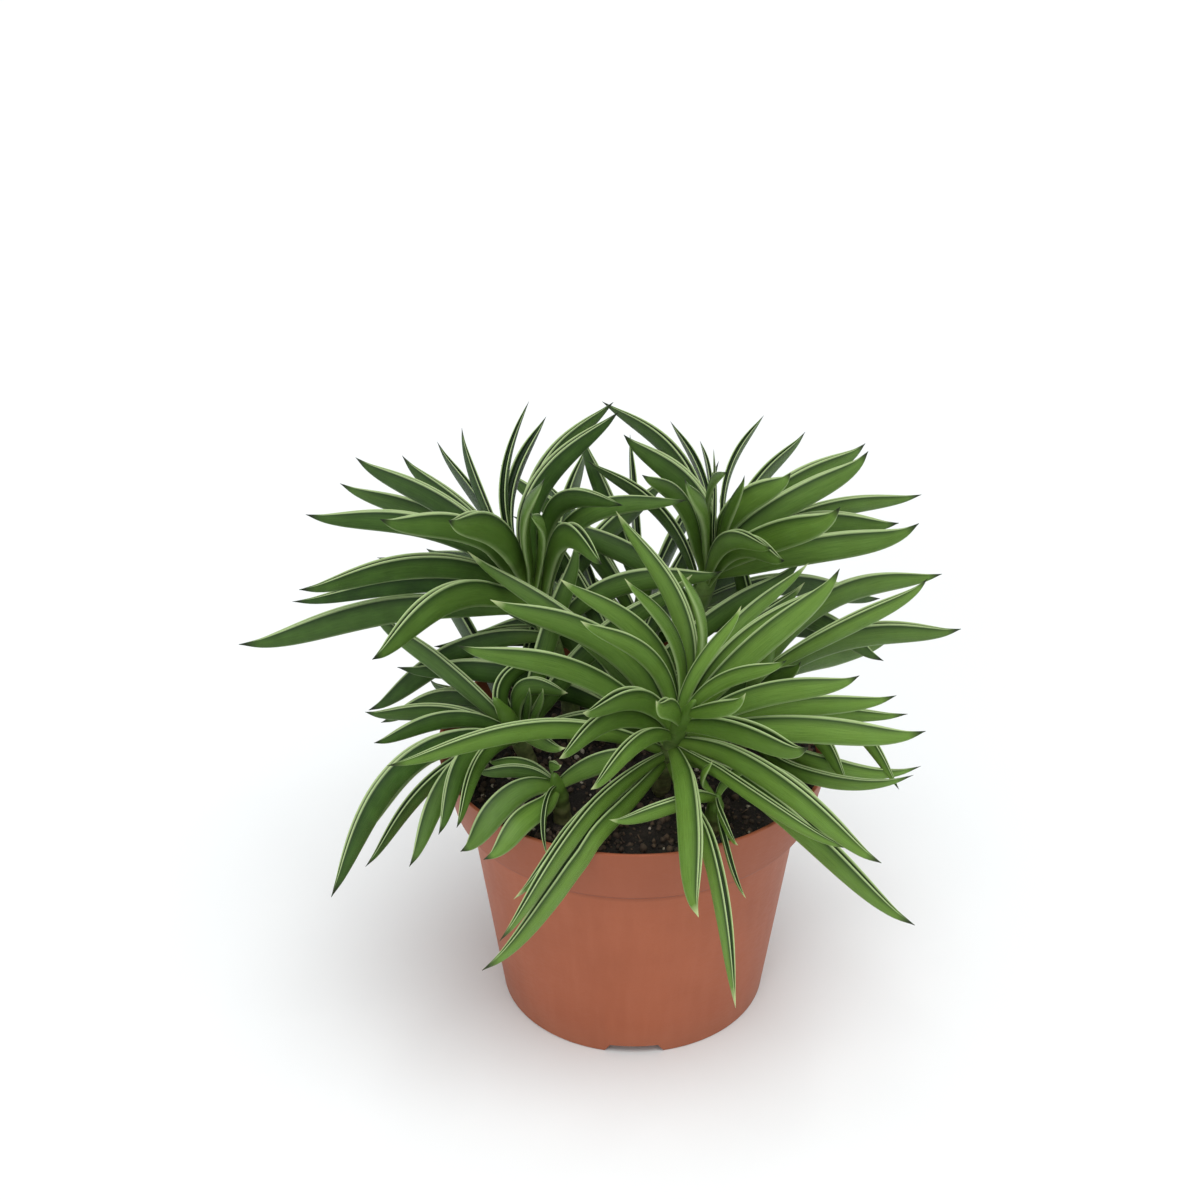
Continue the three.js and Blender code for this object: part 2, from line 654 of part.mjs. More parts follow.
// ---------------------------------------------------------------- assembly
const random = seededStream(SPIRAL.seed);
const leaves = STEMS.flatMap((stem) => {
  const listed = listedLeaves(stem);
  return [...listed, ...spiralLeaves(stem, listed, random)];
});
bendClear(leaves, STEMS);

const plant = new THREE.Group();
plant.add(meshOf("pot", potSolid(), POT_COLOUR, 0.6));
plant.add(meshOf("soil", soilSolid(STEMS), SOIL_COLOUR, 1));
for (const stem of STEMS) {
  const own = leaves.filter((leaf) => leaf.stem === stem);
  plant.add(meshOf(stem.name, leafyStemSolid(stem, own), LEAF_COLOUR, 0.5));
}

export default plant;
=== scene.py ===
"""The looks of a potted peperomia: fine folded leaves, stems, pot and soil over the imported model.

The growth rule works in millimetres, as the part does. Every Blender object is in metres.
"""

import math

import bmesh
import bpy
import numpy as np
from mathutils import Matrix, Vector, noise


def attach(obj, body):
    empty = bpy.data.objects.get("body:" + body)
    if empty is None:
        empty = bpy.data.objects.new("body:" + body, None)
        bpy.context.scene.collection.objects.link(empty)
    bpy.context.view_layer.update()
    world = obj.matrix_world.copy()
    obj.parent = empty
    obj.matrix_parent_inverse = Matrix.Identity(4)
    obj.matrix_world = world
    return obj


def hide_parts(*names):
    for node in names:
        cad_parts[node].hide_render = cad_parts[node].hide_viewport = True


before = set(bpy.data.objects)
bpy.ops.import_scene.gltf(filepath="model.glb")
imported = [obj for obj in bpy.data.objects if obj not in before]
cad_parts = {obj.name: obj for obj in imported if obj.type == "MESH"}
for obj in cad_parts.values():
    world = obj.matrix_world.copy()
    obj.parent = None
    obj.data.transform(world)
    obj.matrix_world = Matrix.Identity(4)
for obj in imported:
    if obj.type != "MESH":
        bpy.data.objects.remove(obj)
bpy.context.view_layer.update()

MM = 0.001
MASK = 0xFFFFFFFF

# ------------------------ pot and soil sizes, in millimetres
POT_HEIGHT = 89
POT_RIM_RADIUS = 60
COLLAR_HEIGHT = 19.3
COLLAR_LOW_RADIUS = 55.4
BODY_TOP_RADIUS = 51.2
FOOT_RADIUS = 41
POT_WALL = 1.3
FLOOR_LIFT = 3.2
FLOOR_THICKNESS = 1.4
PAD_RADIUS = 14
PAD_SLOPE = 4
NOTCH_COUNT = 3
NOTCH_LOW_WIDTH = 18.6
NOTCH_HIGH_WIDTH = 14.8
NOTCH_HEIGHT = 2.9
DRAIN_COUNT = 6
DRAIN_RADIUS = 3
DRAIN_RING = 29
SOIL_LEVEL = 81.5
SOIL_EDGE_DEPTH = 3
SOIL_MOUND = 2.5
SOIL_CRUMB = 0.8
SOIL_GAP = 0.3

# ------------------------ how the plant grows, in millimetres
FRONT_TILT = math.radians(31.3)
ACROSS = np.array([1.0, 0.0, 0.0])
RISE = np.array([0.0, math.sin(FRONT_TILT), math.cos(FRONT_TILT)])
TOWARD = np.array([0.0, -math.cos(FRONT_TILT), math.sin(FRONT_TILT)])

STEM_RADIUS = 2.9
STEM_SUNK = 15
LEAFY_LENGTH = 32
TOP_INSET = 2
BARE_FOOT = 12
LIGHT_LEAN = math.radians(18)
LIGHT = np.array([0.0, math.sin(LIGHT_LEAN), math.cos(LIGHT_LEAN)])
LEAF_DEPTH = 7.0
LEAF_CHANNEL = 0.42
LEAF_HOOK = 0.55
LEAF_BROADEST = 0.55
ROOT_FULLNESS = 0.4
LEAF_TAPER = 2.6
BEND_AT = 0.45

# Each leafy stem: its foot in the soil, its crown, how many spiral leaves it may fill in, and its own
# leaves as (across, rise, toward, arch, size, sway, roll) from the crown, as the part's source has them.
# Size is 1 and sway and roll are 0 where a leaf leaves them out.
STEMS = {
    "leafy_stem_front": (
        (7, -17), (17, -36, 127), 6,
        [
            (-22, 54, -10, 13, 0.9, 1), (-5, 37, 14, 7, 1.0, -8), (41, 38, 4, 2, 1.1),
            (38, 35, -10, 8, 0.8), (34, 40, -26, 8, 0.7), (13, 28, 2, 3, 0.6, 2),
            (25, 12, 22, 4, 0.7, 1), (46, 9, 8, 5), (59, 1, -10, 4, 0.9, -1), (64, -5, -26, 6, 0.8, -1),
            (65, -8, 12, 3, 1.15), (30, -12, 36, 2, 1.2, -1), (13, 3, 32, -1, 0.7),
            (-12, 1, 34, 2, 0.9), (-20, 35, 8, 10, 0.7, -2), (-38, 35, -6, 13, 0.9),
            (-33, 23, 20, 9, 0.8, -2), (-64, 46, -24, 8, 0.85, 2), (-59, 29, 0, 13, 1.1, 2),
            (-68, 16, 14, 9, 1.0, 1), (-33, -3, 36, 8, 1.0, 1), (-38, -14, 42, 9, 0.9, 3),
            (-30, -23, 44, 6, 0.8), (-88, -19, 20, 9, 0.9, 1), (-59, -85, 24, -2, 1.05, -1),
            (-54, -68, 36, 6, 0.9), (-52, -62, 8, 4, 0.8), (0, -64, 40, 2, 1.05, -2, -50),
            (9, -97, 14, 6, 0.95, -2, -25), (51, -46, 30, 6, 1.1), (59, -66, 18, 3, 1.15),
            (43, -43, 20, 0, 0.7, 3),
        ],
    ),
    "leafy_stem_left_back": (
        (-17, 8), (-40, 15, 152), 22,
        [
            (-57, 7, 10, 9), (-50, 17, -24, 7, 0.9, -1), (-44, 24, -8, 5, 0.95, -1),
            (-32, 26, -36, 3, 0.9, 1), (-22, 31, -52, 3, 0.75), (-12, 35, -20, 1, 0.6, -3),
            (-34, 3, 34, 8, 1.15, -1), (-13, 3, 50, 9, 1.3, 1), (9, 40, 0, 8, 0.8, -6),
            (17, 37, -20, 10, 1.15, -6), (12, 15, 44, 5, 1.0, 5), (9, 7, 46, 9, 0.8, -3),
            (32, 42, -26, 15, 1.0, -6), (36, 37, -6, 14, 1.05, -2), (33, 9, 30, 21, 0.9),
            (30, -8, 42, 19, 1.1, -1), (55, 10, 12, 18, 0.9), (-39, -6, -26, 7, 0.7, 1),
            (-58, -16, 24, 10, 1.1), (-62, -22, 10, 5, 0.8, 2), (-78, -31, 2, 7, 1.2),
            (-34, -34, 44, 13, 1.25, 3),
        ],
    ),
    "leafy_stem_right_back": (
        (11, 15), (31, 27, 154), 22,
        [
            (-39, 35, -30, 14, 0.9, 5), (-34, 23, 0, 11, 1.1, 1), (-27, 9, 30, 11, 0.8),
            (-46, 16, -34, 8, 0.8, 3), (-20, 29, -36, 8, 0.75, 4), (-9, 24, -50, 9, 0.5, 3),
            (-6, 19, -8, 7, 0.4, 1), (6, 30, -22, 9, 0.65, -3), (1, 11, 22, 2, 0.7),
            (-19, 9, 40, 6, 1.0, -1), (-5, 9, 44, 11, 0.6, 2), (22, 25, -34, 5, 0.8, -1),
            (23, 15, -50, 7, 0.6, -2), (16, 10, 14, 4, 1.1, 2), (41, 21, -22, 6, 1.1, 1),
            (40, 17, 2, 1, 1.1), (59, 5, -28, 8, 0.85, 1), (47, -1, -6, 10, 1.1, -1),
            (28, 0, 34, 2, 1.3), (53, -4, 16, 1, 1.2), (8, -11, 48, 10, 0.85, 1),
            (11, -16, 42, 10, 1.0, -1),
        ],
    ),
    "leafy_stem_right": (
        (30, -2), (43, 4, 126), 8,
        [
            (53, 17, -34, 13, 1.0, -2), (57, 0, -18, 9, 1.1, -1), (35, -49, 6, 14, 0.75, -3),
            (20, -50, 10, 9, 0.75, -2), (41, -43, -6, -6, 0.7, 12), (39, -46, 12, -6, 0.7, 12),
            (5, -9, 26, 2, 0.7, -1),
        ],
    ),
    "leafy_stem_left_low": (
        (-30, -8), (-42, -15, 114), 14,
        [
            (-39, -4, -14, 5, 0.8, 1), (-21, 5, -34, 3, 0.75, -1), (-35, -7, -26, 12, 0.8, 1),
            (-35, -13, 8, 7, 0.75, 2), (-46, -57, 24, 17, 1.1, 4), (-37, -49, 14, 7, 0.8, 3),
            (-23, -49, 26, 8, 0.85, 4, 35), (-14, -39, 32, 9, 0.8, 4, 35),
            (-10, -36, 38, 7, 0.7, 3, 20), (14, 5, 18, 3, 0.5, -2), (10, 4, 6, 3, 0.5, -1),
            (24, -1, 8, 10, 0.8, 2), (21, -14, 20, 5, 0.8, 5), (19, 11, -16, 12, 0.85, -3),
        ],
    ),
    "leafy_stem_back": (
        (0, 35), (5, 43, 129), 32,
        [],
    ),
    "leafy_stem_middle": (
        (-3, -1), (-2, 4, 123), 30,
        [],
    ),
    "young_shoot_right": (
        (22, -37), (24, -42, 98), 0,
        [
            (6, -29, 18, 3, 0.6, 3), (5, -14, 20, 2, 0.5, 2), (8, 11, 4, 2, 0.45),
            (-1, 11, 14, 1, 0.5, 3), (-34, -8, 12, 0, 0.7, -1),
        ],
    ),
    "young_shoot_left": (
        (-21, -31), (-24, -37, 102), 0,
        [
            (-23, 1, -4, 3, 0.6, -1), (-20, 4, -16, 4, 0.5, -1), (24, 9, 6, 1, 0.9, -1),
            (2, 4, 10, 4, 0.45, 2), (-26, -25, 10, 5, 1.1, 0, 35), (-20, -30, 8, -1, 1.0, -1, 30),
            (0, -28, 8, 4, 0.55, 3),
        ],
    ),
}

SPIRAL_TURN = 137.5
FIRST_LEAN = 22
LAST_LEAN = 122
FIRST_GROWTH = 0.35
GROWTH_RATE = 1.3
YOUNG_SIZE = 0.7
YOUNG_LENGTH = 26
OLD_LENGTH = 70
SPIRAL_ARCH = 9
SPIRAL_ROOM = 19
FRONT_LIMIT = 0.1
JITTER = 0.12
GROWTH_SEED = 626

POINTS = 16
ROUNDS = 360
HOMING_ROUNDS = 200
HOMING = 0.03
STEP = 0.12
LEAF_GAP = 0.3
STEM_GAP = 2.2
POT_GAP = 2.0
ROUNDNESS = 0.54
FLATNESS = 0.5
ROOT_POINTS = 3
POSTS = 14
LISTED_HOLD = 4

# ------------------------ studio, in metres
FLOOR_REACH = 6.0
SKY_STRENGTH = 0.5
# The overhead light is a wide disc far away: its lean to the right and back in degrees, its width and power.
OVERHEAD_LEAN = (4, -14)
OVERHEAD_WIDTH = 50
OVERHEAD_POWER = 2.2
OVERHEAD_PLACE = (0, 0, 1.5)
# The front fill as (place, aim, width, watts).
FRONT_FILL = ((-0.5, -1.6, 0.9), (0.0, 0.0, 0.1), 1.0, 4.0)
CAMERA_PLACE = (-0.0105, -0.7603, 0.6017)
CAMERA_PITCH = 58.67
CAMERA_LENS = 90
CAMERA_SENSOR = 36


def seeded_stream(seed):
    """A repeatable stream of numbers from 0 to 1."""
    state = seed
    while True:
        state = (state + 0x6D2B79F5) & MASK
        mixed = ((state ^ (state >> 15)) * (state | 1)) & MASK
        mixed ^= (mixed + ((mixed ^ (mixed >> 7)) * (mixed | 61))) & MASK
        yield ((mixed ^ (mixed >> 14)) & MASK) / 4294967296


def unit(vector):
    return vector / np.linalg.norm(vector)


def square_to(direction, vector):
    """The part of a vector that is square to a direction, at unit length."""
    return unit(vector - direction * np.dot(vector, direction))


def angle_between(a, b):
    cosine = np.dot(a, b) / (np.linalg.norm(a) * np.linalg.norm(b))
    return math.acos(max(-1.0, min(1.0, cosine)))


def quadratic(start, middle, end, t):
    return start * (1 - t) ** 2 + middle * 2 * (1 - t) * t + end * t * t


def soil_height(x, y):
    out = np.hypot(x, y) / POT_RIM_RADIUS
    crumbs = np.sin(x * 0.93 + y * 0.41) + np.sin(y * 1.07 - x * 0.37) * 0.8
    return SOIL_LEVEL + SOIL_MOUND * (1 - out * out) + SOIL_CRUMB * 0.5 * crumbs


def pot_radius(z):
    """Outside radius of the pot at each height, with the collar."""
    collar_low = POT_HEIGHT - COLLAR_HEIGHT
    up = np.minimum(1, (z - collar_low) / COLLAR_HEIGHT)
    collar = COLLAR_LOW_RADIUS + (POT_RIM_RADIUS - COLLAR_LOW_RADIUS) * up
    body = FOOT_RADIUS + (BODY_TOP_RADIUS - FOOT_RADIUS) * np.maximum(0, z) / collar_low
    return np.where(z >= collar_low, collar, body)


class Stem:
    def __init__(self, name, foot, crown, fill, leaves):
        self.name = name
        self.foot = np.array([foot[0], foot[1], SOIL_LEVEL - STEM_SUNK], float)
        self.crown = np.array(crown, float)
        self.fill = fill
        self.listed = leaves
        self.axis = unit(self.point(1) - self.point(0.9))

    def point(self, t):
        middle = np.array([self.foot[0], self.foot[1], (self.foot[2] + self.crown[2]) / 2])
        return quadratic(self.foot, middle, self.crown, t)


class Leaf:
    """One leaf's middle line from its root in the stem to its tip, arched off the chord.

    Its fold is the side its channel faces: square to the chord, toward the light, turned by the roll.
    """

    def __init__(self, stem, offset, arch, sway, roll, depth, hold):
        self.stem = stem
        self.offset = offset
        self.depth = depth
        self.hold = hold
        stem_length = stem.crown[2] - SOIL_LEVEL + STEM_SUNK
        lean = angle_between(offset, stem.axis)
        root_drop = TOP_INSET + LEAFY_LENGTH * min(1, lean / math.radians(LAST_LEAN))
        reach = min(root_drop, stem.crown[2] - SOIL_LEVEL - SOIL_MOUND - BARE_FOOT)
        root = stem.point(1 - reach / stem_length)
        tip = stem.crown + offset
        along = unit(tip - root)
        over = square_to(along, LIGHT)
        aside = np.cross(along, over)
        self.fold = over * math.cos(roll) + aside * math.sin(roll)
        middle = root + (tip - root) * BEND_AT + over * 2 * arch + aside * 2 * sway
        low_tip = tip - self.fold * LEAF_HOOK * depth
        points = []
        for k in range(POINTS):
            t = k / (POINTS - 1)
            turned_up = LEAF_HOOK * depth * (1 - fullness(max(t, LEAF_BROADEST))) ** 2
            points.append(quadratic(root, middle, low_tip, t) + self.fold * turned_up)
        self.points = np.array(points)


def fullness(t):
    """How full a leaf is along its length: a narrow root, broadest past the middle, a pointed tip."""
    swelling = np.sin(math.pi / 2 * np.clip(t / LEAF_BROADEST, 0, 1))
    rising = ROOT_FULLNESS + (1 - ROOT_FULLNESS) * swelling
    falling = 1 - np.clip((t - LEAF_BROADEST) / (1 - LEAF_BROADEST), 0, 1) ** LEAF_TAPER
    return np.where(t < LEAF_BROADEST, rising, falling)


def listed_leaves(stem):
    leaves = []
    for across, rise, toward, arch, *rest in stem.listed:
        size, sway, roll = rest + [1, 0, 0][len(rest):]
        offset = ACROSS * across + RISE * rise + TOWARD * toward
        turned = math.radians(roll)
        leaves.append(Leaf(stem, offset, arch, sway, turned, size * LEAF_DEPTH, LISTED_HOLD))
    return leaves


def spiral_leaves(stem, listed, stream):
    """Leaves along the growth spiral, wherever a listed leaf leaves room."""
    side = square_to(stem.axis, ACROSS)
    ahead = np.cross(stem.axis, side)
    leaves = []
    for n in range(stem.fill):
        age = (n + 0.5) / stem.fill
        wobble = [(next(stream) - 0.5) * 2 * JITTER for _ in range(3)]
        lean = math.radians(FIRST_LEAN + (LAST_LEAN - FIRST_LEAN) * math.sqrt(age)) + wobble[0]
        turn = math.radians(n * SPIRAL_TURN) + wobble[1]
        direction = stem.axis * math.cos(lean)
        direction = direction + side * math.sin(lean) * math.cos(turn)
        direction = direction + ahead * math.sin(lean) * math.sin(turn)
        room = math.radians(SPIRAL_ROOM)
        crowded = any(angle_between(leaf.offset, direction) < room for leaf in listed + leaves)
        if crowded or np.dot(direction, TOWARD) > FRONT_LIMIT:
            continue
        growth = min(1, FIRST_GROWTH + GROWTH_RATE * age) * (1 + wobble[2])
        length = YOUNG_LENGTH + (OLD_LENGTH - YOUNG_LENGTH) * growth
        depth = LEAF_DEPTH * (YOUNG_SIZE + (1 - YOUNG_SIZE) * growth)
        leaves.append(Leaf(stem, direction * length, SPIRAL_ARCH * age, 0, 0, depth, 1))
    return leaves


# ------------------------ bending leaves clear
def out_of_pot(points, room):
    """How far each leaf point must move to stand clear of the pot and the soil."""
    x, y, z = points[..., 0], points[..., 1], points[..., 2]
    out = np.hypot(x, y)
    push = np.zeros_like(points)
    inside = out < POT_RIM_RADIUS - POT_WALL - room
    sunk = soil_height(x, y) + SOIL_CRUMB + room - z
    push[..., 2] = np.where(inside, np.maximum(0, sunk), 0)
    upward = POT_HEIGHT + room - z
    outward = pot_radius(z) + room - out
    touching = ~inside & (upward > 0) & (outward > 0)
    lift = touching & (upward < outward)
    push[..., 2] += np.where(lift, upward, 0)
    spread = np.where(touching & ~lift, outward / np.maximum(out, 1e-6), 0)
    push[..., 0] += x * spread
    push[..., 1] += y * spread
    return push


class Neighbours:
    """The pairs of leaf points that are near enough to meet before the leaves move much further."""

    MARGIN = 6.0

    def __init__(self, leaves, reach, owner):
        self.reach = reach
        self.owner = owner
        self.hold = np.array([leaf.hold for leaf in leaves], float)
        self.fold = np.array([leaf.fold for leaf in leaves])
        self.seen = None

    def refresh(self, points):
        if self.seen is not None:
            moved = np.abs(points - self.seen).max() * math.sqrt(3)
            if moved < self.MARGIN / 2:
                return
        self.seen = points.copy()
        count = len(points)
        firsts, seconds = [], []
        flat = points.reshape(-1, 3)
        reach = self.reach.reshape(-1)
        for i in range(count - 1):
            later = flat[(i + 1) * POINTS:]
            apart = np.linalg.norm(points[i][:, None] - later[None], axis=2)
            near = apart < self.reach[i][:, None] + reach[(i + 1) * POINTS:] + STEM_GAP + self.MARGIN
            k, other = np.nonzero(near)
            firsts.append(i * POINTS + k)
            seconds.append((i + 1) * POINTS + other)
        self.a = np.concatenate(firsts)
        self.b = np.concatenate(seconds)
        leaf_a, leaf_b = self.a // POINTS, self.b // POINTS
        related = self.owner[leaf_a] == self.owner[leaf_b]
        first = np.where(related, ROOT_POINTS, 1)
        kept = (self.a % POINTS >= first) & (self.b % POINTS >= first)
        self.a, self.b = self.a[kept], self.b[kept]
        leaf_a, leaf_b = leaf_a[kept], leaf_b[kept]
        self.gap = np.where(related, LEAF_GAP, STEM_GAP)[kept]
        self.reach_a, self.reach_b = reach[self.a], reach[self.b]
        self.fold_a, self.fold_b = self.fold[leaf_a], self.fold[leaf_b]
        self.share = self.hold[leaf_b] / (self.hold[leaf_a] + self.hold[leaf_b])

    def pushes(self, points):
        self.refresh(points)
        flat = points.reshape(-1, 3)
        apart = flat[self.a] - flat[self.b]
        distance = np.maximum(np.linalg.norm(apart, axis=1), 1e-6)
        facing_a = np.abs(np.sum(apart * self.fold_a, axis=1)) / distance
        facing_b = np.abs(np.sum(apart * self.fold_b, axis=1)) / distance
        wanted = self.gap + self.reach_a * (FLATNESS + (1 - FLATNESS) * facing_a)
        wanted += self.reach_b * (FLATNESS + (1 - FLATNESS) * facing_b)
        scale = STEP * np.maximum(wanted - distance, 0) / distance
        shove = apart * scale[:, None]
        total = np.zeros_like(flat)
        for axis in range(3):
            ahead = shove[:, axis] * self.share
            back = shove[:, axis] * (1 - self.share)
            total[:, axis] += np.bincount(self.a, ahead, len(flat))
            total[:, axis] -= np.bincount(self.b, back, len(flat))
        return total.reshape(points.shape)


def bend_clear(leaves, stems):
    """Bends leaves that would cross clear of each other, of the stems, the pot and the soil."""
    points = np.array([leaf.points for leaf in leaves])
    home = points.copy()
    link = np.linalg.norm(np.diff(points, axis=1), axis=2)
    full = fullness(np.arange(POINTS) / (POINTS - 1))
    reach = ROUNDNESS * np.array([leaf.depth for leaf in leaves])[:, None] * full
    owner = np.array([stems.index(leaf.stem) for leaf in leaves])
    neighbours = Neighbours(leaves, reach, owner)
    posts = [(i, stem.point(k / (POSTS - 1))) for i, stem in enumerate(stems) for k in range(POSTS)]
    steps = np.arange(POINTS)
    carry = np.minimum(1, steps[:, None] / np.maximum(steps, 1))
    carry[:, 0] = 0
    room = reach + STEM_GAP
    for number in range(ROUNDS):
        push = neighbours.pushes(points) + out_of_pot(points, reach + POT_GAP) * STEP
        for stem_number, post in posts:
            apart = points - post
            distance = np.linalg.norm(apart, axis=2)
            scale = STEP * np.maximum(room + STEM_RADIUS - distance, 0) / np.maximum(distance, 1e-6)
            scale[owner == stem_number] = 0
            push += apart * scale[..., None]
        moved = points + np.einsum("jk,lkd->ljd", carry, push)
        if number < HOMING_ROUNDS:
            moved += (home - moved) * HOMING
        for k in range(1, POINTS):
            step = moved[:, k] - moved[:, k - 1]
            step *= (link[:, k - 1] / np.linalg.norm(step, axis=1))[:, None]
            moved[:, k] = moved[:, k - 1] + step
        points = moved
    for leaf, line in zip(leaves, points):
        leaf.points = line


def grow():
    """All stems and leaves, in the order that the seeded draws need."""
    stems = [Stem(name, *details) for name, details in STEMS.items()]
    stream = seeded_stream(GROWTH_SEED)
    leaves = []
    for stem in stems:
        listed = listed_leaves(stem)
        leaves += listed + spiral_leaves(stem, listed, stream)
    bend_clear(leaves, stems)
    return stems, leaves


# ------------------------ fine leaves
RINGS = 36
# Above 1, the rings stand closer together toward the tip.
RING_CROWDING = 1.25
# The least depth anywhere along a leaf, as a share of its own depth.
THINNEST = 0.02
LEAF_ROLL = 14
# The margins wave in and out by this share, this many radians along the leaf.
MARGIN_WAVE = 0.10
MARGIN_WAVE_RATE = 9
# The groove takes in the upper points less than this far aside. Over the last share of the leaf they
# rise to this height, which closes it. The pale margins fade over a shorter share.
GROOVE_REACH = 0.7
GROOVE_SHUT = 0.48
GROOVE_CLOSING = 0.12
MARGIN_FADING = 0.03
# The way round the skin is measured from this far over the middle.
GIRTH_START = 0.22
# This share of a leaf's tint is its own draw. The rest is painted shade, set by how open it stands.
OWN_TINT = 0.3
# Painted shade: leaves are painted darker in the shady inside of the plant and lighter toward its open face,
# this far toward the front, and a little toward the right.
SHADY = 45
SUNNY = 95
SUNNY_SIDE = 0.45
# Leaf tips are pale inside the plant and this close to its middle, and dark elsewhere.
PALE_WIDTH = 38
# Half of a leaf's cross-section, from the groove's floor over the margin to the keel: how far aside
# and how far over the middle each point stands, as shares of the half channel and of the depth, and
# how much it shows of the pale margin, the dark groove and the shaded lines beside the margin.
SECTION = (
    (0.00, 0.26, 0.0, 1.0, 0.0),
    (0.28, 0.29, 0.0, 1.0, 0.0),
    (0.48, 0.40, 0.0, 0.9, 0.0),
    (0.58, 0.48, 0.8, 0.0, 0.0),
    (0.68, 0.51, 1.0, 0.0, 0.0),
    (0.78, 0.48, 0.7, 0.0, 0.2),
    (0.87, 0.41, 0.0, 0.0, 1.0),
    (0.95, 0.28, 0.0, 0.0, 0.4),
    (1.00, 0.10, 0.0, 0.0, 0.0),
    (0.98, -0.08, 0.0, 0.0, 0.0),
    (0.86, -0.25, 0.0, 0.0, 0.0),
    (0.62, -0.39, 0.0, 0.0, 0.0),
    (0.30, -0.48, 0.3, 0.0, 0.0),
    (0.00, -0.50, 0.6, 0.0, 0.0),
)


def smooth_line(points, t):
    """Points and unit tangents at shares t along a smooth curve through a line's points."""
    last = len(points) - 1
    place = np.clip(t * last, 0, last - 1e-9)
    k = place.astype(int)
    u = (place - k)[:, None]
    before = np.where(k[:, None] > 0, points[np.maximum(k - 1, 0)], 2 * points[0] - points[1])
    here, there = points[k], points[k + 1]
    beyond = points[last] * 2 - points[last - 1]
    after = np.where(k[:, None] + 2 <= last, points[np.minimum(k + 2, last)], beyond)
    slope_in, slope_out = (there - before) / 2, (after - here) / 2
    a = 2 * here - 2 * there + slope_in + slope_out
    b = -3 * here + 3 * there - 2 * slope_in - slope_out
    position = ((a * u + b) * u + slope_in) * u + here
    tangent = (3 * a * u + 2 * b) * u + slope_in
    return position, tangent / np.linalg.norm(tangent, axis=1)[:, None]


def leaf_frame(leaf, t, roll):
    """The middle line at shares t, with the directions over it and aside of it, turned by a roll."""
    middle, along = smooth_line(leaf.points, t)
    over = leaf.fold - along * (along @ leaf.fold)[:, None]
    over /= np.linalg.norm(over, axis=1)[:, None]
    aside = np.cross(along, over)
    turned_over = over * math.cos(roll) + aside * math.sin(roll)
    turned_aside = aside * math.cos(roll) - over * math.sin(roll)
    return middle, turned_over, turned_aside


def openness(leaf):
    """From 0 in the shady inside of the plant to 1 at its open face, which sets the leaf's painted shade."""
    forward = np.dot(leaf.points[POINTS // 2], TOWARD + ACROSS * SUNNY_SIDE)
    return np.clip((forward - SHADY) / (SUNNY - SHADY), 0, 1)


def is_sheltered(leaf):
    """Whether the leaf belongs to a front stem and its tip is over the pot or near the middle."""
    x, y = leaf.points[-1][:2]
    return leaf.stem.crown[1] < 0 and (math.hypot(x, y) < POT_RIM_RADIUS or abs(x) < PALE_WIDTH)


def leaf_rings(leaf, number):
    """The leaf's skin as rings of points, with the numbers its material reads at each point."""
    mirrored = tuple((-row[0], *row[1:]) for row in reversed(SECTION[1:-1]))
    aside_share, over_share, margin, groove, shade = np.array(SECTION + mirrored).T
    draw = np.random.default_rng(GROWTH_SEED + number)
    phase = draw.uniform(0, 2 * math.pi, 2)
    roll = math.radians(LEAF_ROLL) * draw.uniform(-1, 1)
    tint = OWN_TINT * draw.uniform() + (1 - OWN_TINT) * openness(leaf)
    t = 1 - (1 - np.linspace(0, 1, RINGS)) ** RING_CROWDING
    middle, over, aside = leaf_frame(leaf, t, roll)

    depth = leaf.depth * np.maximum(fullness(t), THINNEST)
    waves = 1 + MARGIN_WAVE * np.sin(MARGIN_WAVE_RATE * t[:, None] + phase)
    wave = np.where(aside_share > 0, waves[:, :1], waves[:, 1:])
    closing = np.clip((1 - t) / GROOVE_CLOSING, 0, 1)[:, None]
    in_groove = (np.abs(aside_share) < GROOVE_REACH) & (over_share > 0)
    lift = np.where(in_groove, GROOVE_SHUT - (GROOVE_SHUT - over_share) * closing, over_share)
    reach = (depth * LEAF_CHANNEL / 2)[:, None] * aside_share * wave
    height = depth[:, None] * lift
    skin = middle[:, None] + aside[:, None] * reach[..., None] + over[:, None] * height[..., None]

    length = np.linalg.norm(np.diff(leaf.points, axis=0), axis=1).sum()
    step_aside = np.diff(aside_share, prepend=0) * LEAF_CHANNEL / 2
    girth = np.cumsum(np.hypot(step_aside, np.diff(over_share, prepend=GIRTH_START)))
    everywhere = np.ones(skin.shape[:2])
    return skin, {
        "margin": margin * np.clip((1 - t) / MARGIN_FADING, 0, 1)[:, None],
        "groove": groove * closing,
        "shade": shade * closing,
        "along": everywhere * t[:, None],
        "length": everywhere * t[:, None] * length,
        "around": everywhere * girth * leaf.depth,
        "tint": everywhere * tint,
        "cream": everywhere * float(is_sheltered(leaf)),
    }


def tube_faces(rings, around, start):
    """Quads between rings of points, and a fan of one face over each end."""
    faces = []
    for ring in range(rings - 1):
        for k in range(around):
            here = start + ring * around + k
            after = start + ring * around + (k + 1) % around
            faces.append((here, after, after + around, here + around))
    faces.append(tuple(start + k for k in reversed(range(around))))
    end = start + (rings - 1) * around
    faces.append(tuple(end + k for k in range(around)))
    return faces


def new_object(name, points, faces, shares, material, smooth=True):
    """A mesh object from points in millimetres, with a number on each point for each share."""
    mesh = bpy.data.meshes.new(name)
    mesh.from_pydata((np.asarray(points) * MM).tolist(), [], faces)
    for label, values in shares.items():
        layer = mesh.attributes.new(label, "FLOAT", "POINT")
        layer.data.foreach_set("value", np.asarray(values, dtype=np.float32))
    mesh.polygons.foreach_set("use_smooth", [smooth] * len(mesh.polygons))
    mesh.materials.append(material)
    mesh.update()
    piece = bpy.data.objects.new(name, mesh)
    bpy.context.scene.collection.objects.link(piece)
    return piece


